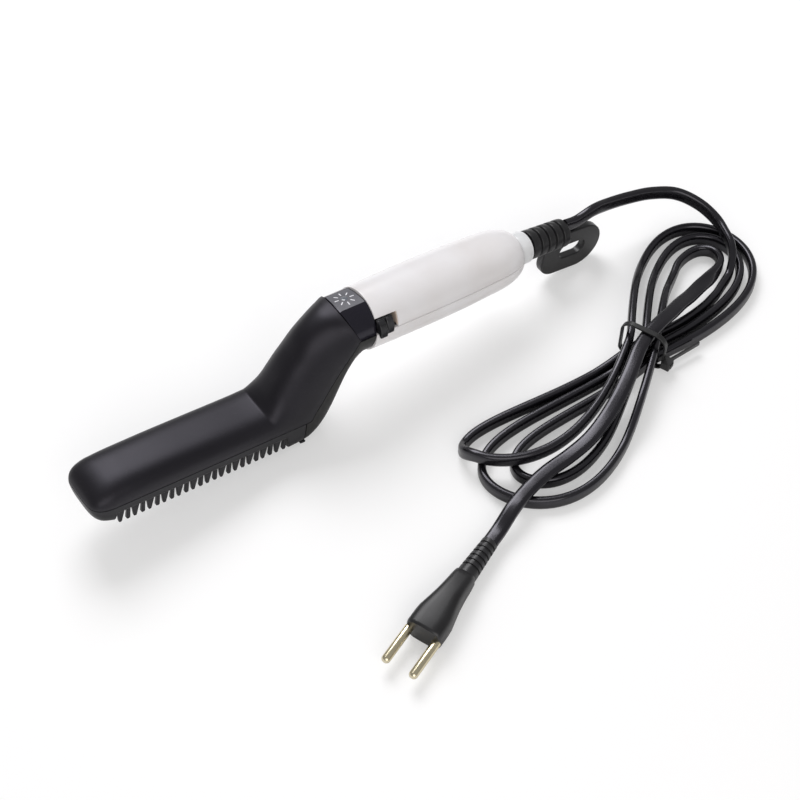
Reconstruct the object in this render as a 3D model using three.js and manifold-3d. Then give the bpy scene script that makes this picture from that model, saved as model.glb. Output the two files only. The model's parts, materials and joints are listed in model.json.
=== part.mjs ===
// Electric hair comb: offset comb head, round handle with a slide switch, hang loop and tied flat cord.
// Millimetres. Each device piece is drawn in the handle's frame: x runs along the handle towards the
// cord, y across it, z up from the heel's sole. The device group then tips until heel and loop stand level.
import * as THREE from 'three';
import { mergeVertices } from 'three/addons/utils/BufferGeometryUtils.js';
import Module from 'manifold-3d';

const wasm = await Module();
wasm.setup();

// Fits
const gap = 0.3;
const wall = 2.0;
const screwShankRadius = 0.8;
const screwPilotRadius = 1.15;

// Comb head, in its own frame: sole at 0, pitched up slightly from the handle's direction
const headLength = 108.4;
const headHalfWidth = 14.0;
const headPitch = THREE.MathUtils.degToRad(1.5);
const partingHeight = 14.3;
const headTopHeight = 24.4;
const rimBottom = 9.0;
const toothTip = 2.9;
const toothPitch = 7.25;
const toothThickness = 1.7;
const firstToothFromNose = 12.6;
const heelFront = -9.6;
const heelJoint = -1.4;
const toothPairs = 1 + Math.floor((headLength - firstToothFromNose + heelFront - 2) / toothPitch);

// Heater stack in the head
const plateFront = -headLength + 11.4;
const plateRear = heelFront - 3.8;
const plateHalfWidth = 10.6;
const plateThickness = 2.0;
const plateLedge = 1.4;
const finPitch = 7.25;
const finThickness = 1.6;
const finTip = 9.2;
const stoneCount = 3;
const stoneLength = 21;
const stoneThickness = 2.4;
const stoneHalfWidth = 6.5;
const sheetThickness = 0.6;
const retainerThickness = 1.0;

// Handle and collar, radii about the handle's axis
const axisHeight = 52.8;
const collarRadius = 14.6;
const collarRear = 31.7;
const seamLean = 0.46;
const seamAtAxis = 24.3;
const sidePart = 2.6;
const spigotRadius = collarRadius - wall - 1.5 * gap;
const spigotBore = spigotRadius - 2.0;
const spigotFront = 15.5;
const spigotRear = 37.5;
const facetHeight = collarRadius - 0.65;
const facetRoll = 12;
const lensAt = 25.0;
const lensRadius = 1.7;
const handleStart = collarRear + gap;
const bellyRadius = collarRadius + 0.8;
const handleLength = 89.4;
const shoulderLength = 21.4;
const handleTail = handleStart + handleLength;
const shoulderAt = handleTail - shoulderLength;
const tailSpigotRadius = 6.3;
const tailSpigotLength = 6.8;
const tailSpigotEnd = handleTail + tailSpigotLength;
const tailBore = 4.8;
const tailRingRadius = 7.9;

// Slide switch
const slotEnd = handleStart + 11.3;
const slotTop = 9.6;
const knobLength = 8.3;
const knobGrip = 5.2;
const switchLength = 13;
const switchDepth = 5;
const switchTravel = 2.4;

// Board and its parts
const boardFront = 19;
const boardRear = shoulderAt - 10;
const boardHalfWidth = 6.5;
const boardTop = -2.4;
const boardThickness = 1.6;
const boardScrewsAt = [boardFront + 31, boardRear - 6];
const caseScrewAt = shoulderAt - 5;
const clampAt = shoulderAt + 8;
const clampHalfLength = 2;

// Cord guard and hang loop
const guardRoot = tailSpigotEnd + 1;
const guardLength = 23.4;
const guardRadius = 7.2;
const guardEndRadius = 6.9;
const guardPitch = THREE.MathUtils.degToRad(4.2);
const guardRibs = 5;
const grooveWidth = 1.3;
const grooveDepth = 1.0;
const loopThickness = 4.0;
const loopLeft = 13.5;
const loopTop = 0.0;
const loopBottom = -25;
const loopEndCentre = 38;
const loopCorner = 10;
const slotLeft = 24.5;
const slotRight = 40;
const slotBottom = -16.4;
const slotUpper = -8.2;
const slotCorner = 3.6;

// Flat twin cord
const cordWidth = 7.0;
const cordThickness = 3.9;
const clampScrewOffset = cordWidth / 2 + 2.3;
const cordExitRise = cordWidth / 2 + 0.4;
const tieCentre = new THREE.Vector2(116.3, -64.65);
const hankTurn = THREE.MathUtils.degToRad(21);
const hankPitch = cordThickness + 1.7;
const hankStepsPerLobe = 24;
const hankEntryAngle = 0.85;
const levelGap = 0.6;
// Where each pass crosses the waist, in pitches to the left of its middle
const waistPlaces = [0.84, 1.18, -1.16, -0.16, -0.16, -1.16, 1.37];
// The lobe after each pass: near and far ones in turn, led in by part of a far one
const entryLobe = { length: 78.5, width: 18.8, shift: 2, skew: 0 };
const hankLobes = [
  { length: 97, width: 11, shift: 28, skew: 16 },
  { length: 89, width: 21.5, shift: 2, skew: 0 },
  { length: 91, width: 9.8, shift: 14, skew: 15 },
  { length: 83.5, width: 19, shift: 2, skew: 0 },
  { length: 103.6, width: 15.2, shift: 18, skew: 18 },
  { length: 73, width: 13.2, shift: 2, skew: 0 },
];
const hankTailAngle = 0.8;
const tieStrap = 1.0;
const tieWidth = 2.6;

// Plug
const plugLength = 34;
const plugHalfWidth = 6.9;
const pinRadius = 2.0;
const pinLength = 19;
const pinSpread = 6.7;

const finish = (colour, roughness, metalness = 0) =>
  new THREE.MeshStandardMaterial({ color: colour, roughness, metalness });

const looks = {
  shell: finish(0x29292c, 0.55),
  cover: finish(0x262628, 0.6),
  frame: finish(0x222224, 0.6),
  collar: finish(0x1d1d20, 0.25),
  lens: finish(0x8e98a6, 0.3),
  pearl: finish(0xece9ea, 0.3),
  ring: finish(0xd7dadc, 0.35),
  knob: finish(0x161618, 0.35),
  rubber: finish(0x1c1c1e, 0.6),
  cord: finish(0x17171b, 0.35),
  aluminium: finish(0xb9bcc0, 0.35, 1),
  steel: finish(0x9a9ca0, 0.3, 1),
  brass: finish(0xb99a55, 0.3, 1),
  ceramic: finish(0x6f6a63, 0.8),
  film: finish(0xb56a1e, 0.4),
  board: finish(0x2f6b3a, 0.5),
  silicone: finish(0xd9d6cf, 0.5),
  red: finish(0x9b2a22, 0.45),
  led: finish(0xd64b36, 0.2),
  fuse: finish(0xcfc8b8, 0.4, 0.4),
};

// Turns a closed geometry into a solid that can be joined and cut.
function solid(geometry) {
  const bare = geometry.clone();
  bare.deleteAttribute('normal');
  bare.deleteAttribute('uv');
  const merged = mergeVertices(bare, 1e-4);
  const index = merged.index.array;
  const triangles = [];
  for (let i = 0; i < index.length; i += 3) {
    const [a, b, c] = [index[i], index[i + 1], index[i + 2]];
    if (a !== b && b !== c && a !== c) {
      triangles.push(a, b, c);
    }
  }
  const vertProperties = new Float32Array(merged.attributes.position.array);
  return new wasm.Manifold(new wasm.Mesh({ numProp: 3, vertProperties, triVerts: new Uint32Array(triangles) }));
}

function geometryOf(body) {
  const mesh = body.getMesh();
  const geometry = new THREE.BufferGeometry();
  geometry.setAttribute('position', new THREE.BufferAttribute(new Float32Array(mesh.vertProperties), 3));
  geometry.setIndex(new THREE.BufferAttribute(new Uint32Array(mesh.triVerts), 1));
  geometry.computeVertexNormals();
  return geometry;
}

function piece(parent, name, shape, material) {
  const geometry = shape.isBufferGeometry ? shape : geometryOf(shape);
  const mesh = new THREE.Mesh(geometry, material.clone());
  mesh.name = name;
  parent.add(mesh);
  return mesh;
}

const joined = (shapes) => shapes.map(solid).reduce((whole, part) => whole.add(part));

// Turns a solid about the handle's axis to where the collar's facet looks, on the far side of the top.
const rolled = (shape) => shape.translate(0, 0, -axisHeight).rotate(-facetRoll, 0, 0).translate(0, 0, axisHeight);

function box(x, y, z) {
  const geometry = new THREE.BoxGeometry(x[1] - x[0], y[1] - y[0], z[1] - z[0]);
  return geometry.translate((x[0] + x[1]) / 2, (y[0] + y[1]) / 2, (z[0] + z[1]) / 2);
}

// A side-view outline in x and z, thickened from y0 to y1.
function slab(outline, y0, y1) {
  const shape = outline instanceof THREE.Shape ? outline : new THREE.Shape(outline.map(([x, z]) => new THREE.Vector2(x, z)));
  const geometry = new THREE.ExtrudeGeometry(shape, { depth: y1 - y0, bevelEnabled: false, curveSegments: 6 });
  return geometry.rotateX(Math.PI / 2).translate(0, y1, 0);
}

// A cross-section outline in y and z, run along x from x0 to x1.
function bar(outline, x0, x1) {
  const shape = new THREE.Shape(outline.map(([y, z]) => new THREE.Vector2(y, z)));
  const geometry = new THREE.ExtrudeGeometry(shape, { depth: x1 - x0, bevelEnabled: false });
  return geometry.rotateX(Math.PI / 2).rotateZ(Math.PI / 2).translate(x0, 0, 0);
}

// A profile of [x, radius] turned about the x axis.
function turned(profile, sides = 32) {
  const points = profile.map(([x, radius]) => new THREE.Vector2(radius, x));
  return new THREE.LatheGeometry(points, sides).rotateZ(-Math.PI / 2);
}

const closed = (profile) => [...profile, profile[0]];

const ring = (x0, x1, outer, inner, sides) =>
  turned(closed([[x0, inner], [x0, outer], [x1, outer], [x1, inner]]), sides);

function rod(from, to, radius, sides = 12) {
  const start = new THREE.Vector3(...from);
  const along = new THREE.Vector3(...to).sub(start);
  const geometry = new THREE.CylinderGeometry(radius, radius, along.length(), sides);
  geometry.translate(0, along.length() / 2, 0);
  const up = new THREE.Vector3(0, 1, 0);
  geometry.applyQuaternion(new THREE.Quaternion().setFromUnitVectors(up, along.clone().normalize()));
  return geometry.translate(start.x, start.y, start.z);
}

// A round-headed screw standing along +z from its tip; head side at the top.
function screw(x, y, tip, seat, headRadius = 2.2, headHeight = 1.4) {
  const shank = rod([x, y, tip], [x, y, seat + 0.2], screwShankRadius, 10);
  const head = rod([x, y, seat], [x, y, seat + headHeight], headRadius, 14);
  const slot = box([x - headRadius, x + headRadius], [y - 0.3, y + 0.3], [seat + headHeight - 0.5, seat + 9]);
  return joined([shank, head]).subtract(solid(slot));
}

function ellipsePoints(halfX, halfY, sides) {
  const points = [];
  for (let i = 0; i < sides; i += 1) {
    const angle = (2 * Math.PI * (i + 0.5)) / sides;
    points.push([halfX * Math.cos(angle), halfY * Math.sin(angle)]);
  }
  return points;
}

// A round wire along hand-chosen points.
function wire(points, radius, steps) {
  const path = new THREE.CatmullRomCurve3(points.map((point) => new THREE.Vector3(...point)), false, 'centripetal');
  const section = new THREE.Shape(ellipsePoints(radius, radius, 8).map(([x, y]) => new THREE.Vector2(x, y)));
  return new THREE.ExtrudeGeometry(section, { steps, bevelEnabled: false, extrudePath: path });
}

// Skins a list of equal-sized closed rings and caps both ends.
function loft(rings) {
  const count = rings[0].length;
  const positions = rings.flat().flatMap((point) => [point.x, point.y, point.z]);
  const index = [];
  for (let i = 0; i + 1 < rings.length; i += 1) {
    for (let k = 0; k < count; k += 1) {
      const next = (k + 1) % count;
      const [a, b] = [i * count + k, i * count + next];
      index.push(a, b, b + count, a, b + count, a + count);
    }
  }
  for (const [row, flip] of [[0, true], [rings.length - 1, false]]) {
    const centre = new THREE.Vector3();
    rings[row].forEach((point) => centre.addScaledVector(point, 1 / count));
    const tip = positions.length / 3;
    positions.push(centre.x, centre.y, centre.z);
    for (let k = 0; k < count; k += 1) {
      const [a, b] = [row * count + k, row * count + ((k + 1) % count)];
      index.push(...(flip ? [tip, b, a] : [tip, a, b]));
    }
  }
  const geometry = new THREE.BufferGeometry();
  geometry.setAttribute('position', new THREE.BufferAttribute(new Float32Array(positions), 3));
  geometry.setIndex(index);
  return volume(geometry) < 0 ? inverted(geometry) : geometry;
}

function volume(geometry) {
  const position = geometry.attributes.position;
  const index = geometry.index.array;
  const [a, b, c] = [new THREE.Vector3(), new THREE.Vector3(), new THREE.Vector3()];
  let sum = 0;
  for (let i = 0; i < index.length; i += 3) {
    a.fromBufferAttribute(position, index[i]);
    b.fromBufferAttribute(position, index[i + 1]);
    c.fromBufferAttribute(position, index[i + 2]);
    sum += a.dot(b.cross(c));
  }
  return sum;
}

function inverted(geometry) {
  const index = Array.from(geometry.index.array);
  for (let i = 0; i < index.length; i += 3) {
    [index[i], index[i + 1]] = [index[i + 1], index[i]];
  }
  geometry.setIndex(index);
  return geometry;
}

// Head frame to handle frame: the head turns about its rear end at parting height.
function headPoint(x, z) {
  const drop = z - partingHeight;
  return [
    x * Math.cos(headPitch) + drop * Math.sin(headPitch),
    partingHeight - x * Math.sin(headPitch) + drop * Math.cos(headPitch),
  ];
}

const headMatrix = new THREE.Matrix4()
  .makeTranslation(0, 0, partingHeight)
  .multiply(new THREE.Matrix4().makeRotationY(headPitch))
  .multiply(new THREE.Matrix4().makeTranslation(0, 0, -partingHeight));

const inHead = (geometry) => geometry.applyMatrix4(headMatrix);

// Section stations of the head and neck: lowest, widest and highest point, half width and the
// superellipse powers of the upper and lower halves.
function headStation(x, bottom, top, halfWidth, upper, lower) {
  const points = [headPoint(x, bottom), headPoint(x, partingHeight), headPoint(x, top)];
  return { bottom: points[0], side: points[1], top: points[2], halfWidth, upper, lower };
}

function neckStation(bottom, side, top, halfWidth, upper, lower) {
  return { bottom, side, top, halfWidth, upper, lower };
}

function bodyStations() {
  const nose = -headLength;
  const wide = headHalfWidth;
  const low = axisHeight - collarRadius;
  const high = axisHeight + collarRadius;
  return [
    headStation(nose, 12.2, 15.4, wide - 6.2, 2.6, 2.6),
    headStation(nose + 0.8, 9.0, 17.4, wide - 3.7, 2.8, 2.8),
    headStation(nose + 2.6, 5.6, 19.7, wide - 1.8, 3.0, 3.0),
    headStation(nose + 5.4, 3.4, 21.6, wide - 0.6, 2.9, 3.4),
    headStation(nose + 8.4, toothTip, 22.7, wide - 0.1, 2.9, 4),
    headStation(nose + 10.0, toothTip + 0.3, 23.1, wide, 2.9, 5),
    headStation(nose + 10.8, rimBottom, 23.25, wide, 2.9, 9),
    headStation(nose + 19, rimBottom, headTopHeight - 0.3, wide, 3.0, 9),
    headStation(-54, rimBottom, headTopHeight, wide, 3.2, 9),
    headStation(-26, rimBottom, headTopHeight, wide, 3.2, 9),
    neckStation(headPoint(heelFront - 0.2, rimBottom), headPoint(-15, partingHeight), [-21.2, 25.6], wide, 3.3, 9),
    neckStation(headPoint(heelFront + 0.4, 1.2), headPoint(-9, partingHeight), [-17.8, 28.6], wide, 3.0, 9),
    neckStation([0, 1.1], [0, 15.5], [-14.2, 34.6], wide, 2.8, 6),
    neckStation([4.5, 2.0], [2.2, 19], [-11.6, 39.6], wide, 2.6, 5),
    neckStation([9.5, 5.4], [5.2, 24.5], [-8.8, 44.4], wide, 2.5, 4),
    neckStation([14, 12.5], [9, 31.5], [-5.0, 49.9], wide - 0.1, 2.4, 3.4),
    neckStation([17.8, 22.5], [13.4, 39.5], [-0.3, 56.9], wide, 2.2, 2.8),
    neckStation([21.5, low - 6.7], [18, 46.3], [6.4, high - 4.8], collarRadius - 0.3, 2.1, 2.3),
    neckStation([26, low - 1.4], [21.6, 50], [12.4, high - 1.8], collarRadius - 0.1, 2.1, 2.1),
    neckStation([seamAtAxis + seamLean * collarRadius, low], [seamAtAxis, axisHeight],
      [seamAtAxis - seamLean * collarRadius, high - 0.9], collarRadius, 2.2, 2),
    neckStation([collarRear, low], [collarRear, axisHeight], [collarRear, high], collarRadius, 2, 2),
  ];
}

const sectionSides = 28;
const power = (value, exponent) => Math.sign(value) * Math.abs(value) ** (2 / exponent);

function bodyRing(station, inset) {
  const points = [];
  for (let k = 0; k < sectionSides; k += 1) {
    const angle = (2 * Math.PI * k) / sectionSides;
    const over = Math.sin(angle) >= 0;
    const exponent = over ? station.upper : station.lower;
    const end = over ? station.top : station.bottom;
    const [dx, dz] = [end[0] - station.side[0], end[1] - station.side[1]];
    const reach = Math.hypot(dx, dz);
    const share = (Math.abs(power(Math.sin(angle), exponent)) * Math.max(reach - inset, 0.2)) / reach;
    const across = power(Math.cos(angle), exponent) * (station.halfWidth - inset);
    points.push(new THREE.Vector3(station.side[0] + dx * share, across, station.side[1] + dz * share));
  }
  return points;
}

function bodyOuter() {
  return solid(loft(bodyStations().map((station) => bodyRing(station, 0))));
}

function bodyInner() {
  const stations = bodyStations();
  const rings = stations.slice(2).map((station) => bodyRing(station, wall));
  const last = rings[rings.length - 1];
  rings.push(last.map((point) => point.clone().setX(point.x + 3)));
  return solid(loft(rings));
}

// Parting lines in side view
const kink = headPoint(1.2, partingHeight);
const neckMid = [17.3, 45.2];
const seamX = (height) => seamAtAxis - seamLean * height;
const seamLow = [seamX(sidePart), axisHeight + sidePart];
const shift = ([x, z], dx, dz) => [x + dx, z + dz];

function upperRegion() {
  const lift = gap / 2;
  const farTip = headPoint(-headLength - 20, partingHeight + lift);
  return slab([
    farTip,
    shift(kink, -lift, lift),
    shift(neckMid, -lift, lift),
    shift(seamLow, -lift, lift),
    [seamX(30) - lift, axisHeight + 30],
    [farTip[0], axisHeight + 30],
  ], -30, 30);
}

function coverRegion() {
  const lift = gap / 2;
  const joint = headPoint(heelJoint + gap, partingHeight - lift);
  return slab([
    headPoint(heelJoint + gap, -20),
    [collarRear, -20],
    [collarRear, axisHeight + sidePart - lift],
    shift(seamLow, lift, -lift),
    shift(neckMid, lift, -lift),
    shift(kink, lift, -lift),
    joint,
  ], -30, 30);
}

function rimRegion() {
  const lift = gap / 2;
  const farTip = headPoint(-headLength - 20, partingHeight - lift);
  return slab([
    farTip,
    headPoint(-headLength - 20, -20),
    headPoint(heelJoint, -20),
    headPoint(heelJoint, partingHeight - lift),
  ], -30, 30);
}

// Neck screw: runs from the cover's back face into a post on the shell's front wall
const neckScrewSeat = new THREE.Vector3(11.3, 0, 21.6);
const neckScrewAim = new THREE.Vector3(-0.9, 0, 0.436).normalize();
const alongNeckScrew = (distance) => neckScrewSeat.clone().addScaledVector(neckScrewAim, distance).toArray();
const neckPostStart = 3.0;
const neckPostEnd = 32;
const neckHeadRadius = 2.4;

function headUpperShell(outer, inner) {
  const region = solid(upperRegion());
  const bridge = solid(ring(spigotFront, spigotFront + 4.5, collarRadius - 1.0, spigotBore)
    .translate(0, 0, axisHeight)).intersect(outer);
  const spigot = solid(ring(spigotFront, spigotRear, spigotRadius, spigotBore).translate(0, 0, axisHeight));
  const switchNotch = solid(box([29.5, spigotRear + 1], [-20, -2.6], [axisHeight - 1, axisHeight + 12]));
  const lensWay = rod([lensAt, 0, axisHeight + 5], [lensAt, 0, axisHeight + 20], lensRadius + 1.2, 16);
  const lensHole = rolled(solid(lensWay));
  const post = solid(rod(alongNeckScrew(neckPostStart), alongNeckScrew(neckPostEnd), 2.6, 14)).intersect(outer);
  const pilot = solid(rod(alongNeckScrew(neckPostStart - 1), alongNeckScrew(neckPostStart + 9), screwPilotRadius, 10));
  const bosses = heaterScrewsAt.map((x) => {
    const foot = heaterTop() + retainerThickness + gap + screwHeadHeight + gap;
    return solid(inHead(rod([x, 0, foot], [x, 0, headTopHeight - 1], 2.8, 14)));
  });
  let shell = outer.subtract(inner).intersect(region).add(bridge.intersect(region)).add(spigot);
  shell = shell.add(post).subtract(pilot).subtract(switchNotch).subtract(lensHole);
  return bosses.reduce((whole, boss) => whole.add(boss), shell);
}

function neckLowerCover(outer, inner) {
  const boss = solid(rod(alongNeckScrew(-9), alongNeckScrew(neckPostStart - gap), 3.6, 16)).intersect(outer);
  const bore = solid(rod(alongNeckScrew(-16), alongNeckScrew(0), neckHeadRadius + gap, 16));
  const through = solid(rod(alongNeckScrew(-1), alongNeckScrew(neckPostStart), screwPilotRadius, 10));
  const cover = outer.subtract(inner).intersect(solid(coverRegion()));
  return cover.add(boss.intersect(solid(coverRegion()))).subtract(bore).subtract(through);
}

function neckScrew() {
  const head = rod(alongNeckScrew(-gap - 1.6), alongNeckScrew(-gap), neckHeadRadius, 14);
  const shank = rod(alongNeckScrew(-gap - 0.2), alongNeckScrew(neckPostStart + 7), screwShankRadius, 10);
  return joined([head, shank]);
}

// Comb frame: rim, ledge for the plate, nose, heel block and two rows of paired teeth
const rimInside = plateHalfWidth + gap;
const ledgeTop = rimBottom + plateLedge;

function pinTooth(x) {
  return slab([[x - 0.95, toothTip + 0.6], [x - 0.4, toothTip], [x + 0.5, toothTip], [x + 0.95, toothTip + 0.6],
    [x + 0.8, rimBottom + 0.4], [x - 0.8, rimBottom + 0.4]], 0, toothThickness);
}

function wedgeTooth(x) {
  return slab([[x - 0.75, toothTip + 0.4], [x - 0.3, toothTip], [x + 0.4, toothTip], [x + 0.8, toothTip + 0.4],
    [x + 2.0, rimBottom + 0.4], [x - 1.9, rimBottom + 0.4]], 0, toothThickness);
}

function toothRow(outsideY, side) {
  const shapes = [];
  const y = side < 0 ? outsideY : outsideY - toothThickness;
  for (let i = 0; i < toothPairs; i += 1) {
    const x = -headLength + firstToothFromNose + i * toothPitch;
    shapes.push(wedgeTooth(x).translate(0, y, 0));
    if (x + 3.9 < heelFront - 1.4) {
      shapes.push(pinTooth(x + 3.9).translate(0, y, 0));
    }
  }
  return shapes;
}

function combFrame(outer) {
  const pocket = box([plateFront - gap, plateRear + gap], [-rimInside, rimInside], [ledgeTop, partingHeight + 5]);
  const window = box([plateFront + plateLedge, plateRear - plateLedge], [-rimInside + plateLedge, rimInside - plateLedge],
    [-5, ledgeTop + 1]);
  const heel = slab([[heelFront, 0.7], [heelFront + 0.7, 0], [0.5, 0], [0.5, 0.55], [heelJoint, 0.8],
    [heelJoint, rimBottom + 1.5], [heelFront, rimBottom + 1.5]], -headHalfWidth + 0.5, headHalfWidth - 0.5);
  const wiring = box([plateRear - 1, plateRear + 6], [-7, 7], [partingHeight - 1.6, partingHeight + 5]);
  const teeth = [...toothRow(-headHalfWidth + 0.35, -1), ...toothRow(headHalfWidth - 0.35, 1)];
  let frame = outer.intersect(solid(rimRegion())).add(solid(inHead(heel)));
  frame = [pocket, window, wiring].reduce((whole, cut) => whole.subtract(solid(inHead(cut))), frame);
  return teeth.reduce((whole, tooth) => whole.add(solid(inHead(tooth))), frame);
}

// Heater stack heights in the head frame
const plateBottom = ledgeTop + gap;
const plateTop = plateBottom + plateThickness;
const stoneBottom = plateTop + gap;
const sheetBottom = stoneBottom + stoneThickness + gap;
const retainerBottom = sheetBottom + sheetThickness + gap;
const screwHeadHeight = 1.4;
const heaterMiddle = (plateFront + plateRear) / 2 + 2.2;
const heaterScrewsAt = [heaterMiddle - 17, heaterMiddle + 17];

function heaterTop() {
  return retainerBottom;
}

function heaterPlate() {
  const shapes = [box([plateFront, plateRear], [-plateHalfWidth, plateHalfWidth], [plateBottom, plateTop])];
  const finHalf = rimInside - plateLedge - gap;
  for (let x = plateFront + 6; x < plateRear - 5; x += finPitch) {
    const outline = [[-finHalf, plateBottom + 0.5], [-finHalf + 1.2, finTip], [finHalf - 1.2, finTip],
      [finHalf, plateBottom + 0.5]];
    shapes.push(bar(outline, x, x + finThickness));
  }
  return inHead(geometryOf(heaterScrewsAt.reduce(
    (plate, x) => plate.subtract(solid(rod([x, 0, plateBottom + 0.4], [x, 0, plateTop + 3], screwPilotRadius, 10))),
    joined(shapes))));
}

// Heating stones sit in a row, the plate screws passing between them
function stone(i) {
  const spread = heaterScrewsAt[1] - heaterScrewsAt[0];
  const middle = (heaterScrewsAt[0] + heaterScrewsAt[1]) / 2 + (i - (stoneCount - 1) / 2) * spread;
  const half = Math.min(stoneLength, spread - 8) / 2;
  const front = Math.max(middle - half, plateFront + 1);
  const rear = Math.min(middle + half, plateRear - 1);
  return inHead(box([front, rear], [-stoneHalfWidth, stoneHalfWidth],
    [stoneBottom, stoneBottom + stoneThickness]));
}

function layer(bottom, thickness, halfWidth) {
  const sheet = solid(box([plateFront + 2, plateRear - 1], [-halfWidth, halfWidth], [bottom, bottom + thickness]));
  return inHead(geometryOf(heaterScrewsAt.reduce(
    (cut, x) => cut.subtract(solid(rod([x, 0, bottom - 1], [x, 0, bottom + 5], screwPilotRadius, 10))), sheet)));
}

function heaterScrew(x) {
  const seat = retainerBottom + retainerThickness + gap;
  return inHead(geometryOf(screw(x, 0, plateBottom + 0.8, seat, 2.0, screwHeadHeight - 0.3)));
}

// The cut-out lies on the retainer plate beside the screws; its two legs bend down at the ends
function thermalFuse() {
  const z = retainerBottom + retainerThickness + gap + 1.7;
  const body = rod([heaterMiddle - 5, 5.4, z], [heaterMiddle + 5, 5.4, z], 1.7, 12);
  const legs = rod([heaterMiddle - 10, 5.4, z], [heaterMiddle + 10, 5.4, z], 0.5, 8);
  return inHead(geometryOf(joined([body, legs])));
}

// Silicone leads run from the heater up the neck and stop over the board's front end
function heaterLead(side) {
  const start = headPoint(plateRear - 3, retainerBottom + retainerThickness + gap + 1.1);
  const boardZ = axisHeight + boardTop + gap + 0.9;
  const points = [
    [start[0], side * 5.2, start[1]],
    [start[0] + 4, side * 5.2, start[1] + 0.4],
    [-8.5, side * 5.4, 23.5],
    [-3, side * 5.6, 31.5],
    [2.5, side * 5.6, 40],
    [9, side * 5.2, 47.2],
    [16, side * 4.6, boardZ],
    [24, side * 4.4, boardZ],
  ];
  return wire(points, 0.9, 18);
}

function collarBand() {
  const lift = gap / 2;
  const region = slab([
    [seamX(sidePart + lift) + lift, axisHeight + sidePart + lift],
    [collarRear, axisHeight + sidePart + lift],
    [collarRear, axisHeight + 30],
    [seamX(30) + lift, axisHeight + 30],
  ], -30, 30);
  const band = solid(ring(seamX(collarRadius) - 4, collarRear, collarRadius, spigotRadius + gap, 48)
    .translate(0, 0, axisHeight)).intersect(solid(region));
  const facet = solid(box([0, 60], [-10, 10], [axisHeight + facetHeight, axisHeight + 30]));
  const hole = solid(rod([lensAt, 0, axisHeight + 5], [lensAt, 0, axisHeight + 20], lensRadius + gap, 16));
  return band.subtract(rolled(facet)).subtract(rolled(hole));
}

function lens() {
  const top = axisHeight + facetHeight - 0.1;
  const pin = rod([lensAt, 0, axisHeight + spigotBore + 0.45], [lensAt, 0, top], lensRadius, 16);
  const [skirtLow, skirtHigh] = [axisHeight + spigotBore - 1.2, axisHeight + spigotRadius - 0.2];
  const skirt = rod([lensAt, 0, skirtLow], [lensAt, 0, skirtHigh], lensRadius + 0.8, 16);
  const socket = rod([lensAt, 0, axisHeight], [lensAt, 0, axisHeight + spigotBore], 1.5 + gap, 12);
  return rolled(joined([pin, skirt]).subtract(solid(socket)));
}

function led() {
  const z = axisHeight;
  const boardZ = z + boardTop + gap;
  const foot = 5.6 * Math.sin(THREE.MathUtils.degToRad(facetRoll));
  const bulb = rolled(joined([
    rod([lensAt, 0, z + 5.5], [lensAt, 0, z + spigotBore - gap], 1.5, 12),
    rod([lensAt, 0, z + 5.0], [lensAt, 0, z + 6.2], 1.9, 12),
  ]));
  const leg = (x) => solid(rod([lensAt + x, foot, boardZ], [lensAt + x, foot, z + 5.4], 0.3, 8));
  return bulb.add(leg(-1.27)).add(leg(1.27));
}

// Handle body: a barrel with a round shoulder and a short tail spigot, radii by station
function handleOutline() {
  const shoulder = (share) => bellyRadius - 0.8 - (bellyRadius - 8.6) * (1 - Math.sqrt(1 - share ** 2.4));
  const middle = (handleStart + shoulderAt) / 2;
  const outline = [[handleStart, collarRadius + 0.3], [middle - 18, bellyRadius - 0.15], [middle, bellyRadius],
    [middle + 18, bellyRadius - 0.15]];
  for (const share of [0, 0.4, 0.62, 0.8, 0.92, 0.985]) {
    outline.push([shoulderAt + share * (handleTail - shoulderAt), shoulder(share)]);
  }
  return outline;
}

function handleBody() {
  const outline = handleOutline();
  const endRadius = outline[outline.length - 1][1];
  const inside = outline.slice(0, -3).map(([x, radius]) => [x, radius - wall]);
  inside[0][1] = spigotRadius + gap;
  const wallFace = handleTail - wall - 1;
  return turned(closed([
    ...outline, [handleTail, endRadius - 0.8], [handleTail, tailSpigotRadius], [tailSpigotEnd, tailSpigotRadius],
    [tailSpigotEnd, tailBore], [wallFace, tailBore], [wallFace, inside[inside.length - 1][1] - 1.4],
    ...inside.reverse(),
  ]), 36);
}

function handleFilled() {
  const outline = handleOutline();
  return solid(turned([[handleStart, 0], ...outline, [outline[outline.length - 1][0], 0]], 36));
}

const halfSpace = (above) => solid(box([0, 200], [-40, 40],
  above ? [sidePart + gap / 2, 60] : [-60, sidePart - gap / 2]));

function handleUpperShell() {
  const body = solid(handleBody());
  const slot = solid(box([collarRear - 5, slotEnd], [-30, -6], [0, slotTop]));
  const boss = solid(rod([caseScrewAt, 0, sidePart + 1], [caseScrewAt, 0, bellyRadius + 5], 2.5, 14));
  const pilot = solid(rod([caseScrewAt, 0, 0], [caseScrewAt, 0, 9], screwPilotRadius, 10));
  return body.intersect(halfSpace(true)).subtract(slot).add(boss.intersect(handleFilled())).subtract(pilot);
}

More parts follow.
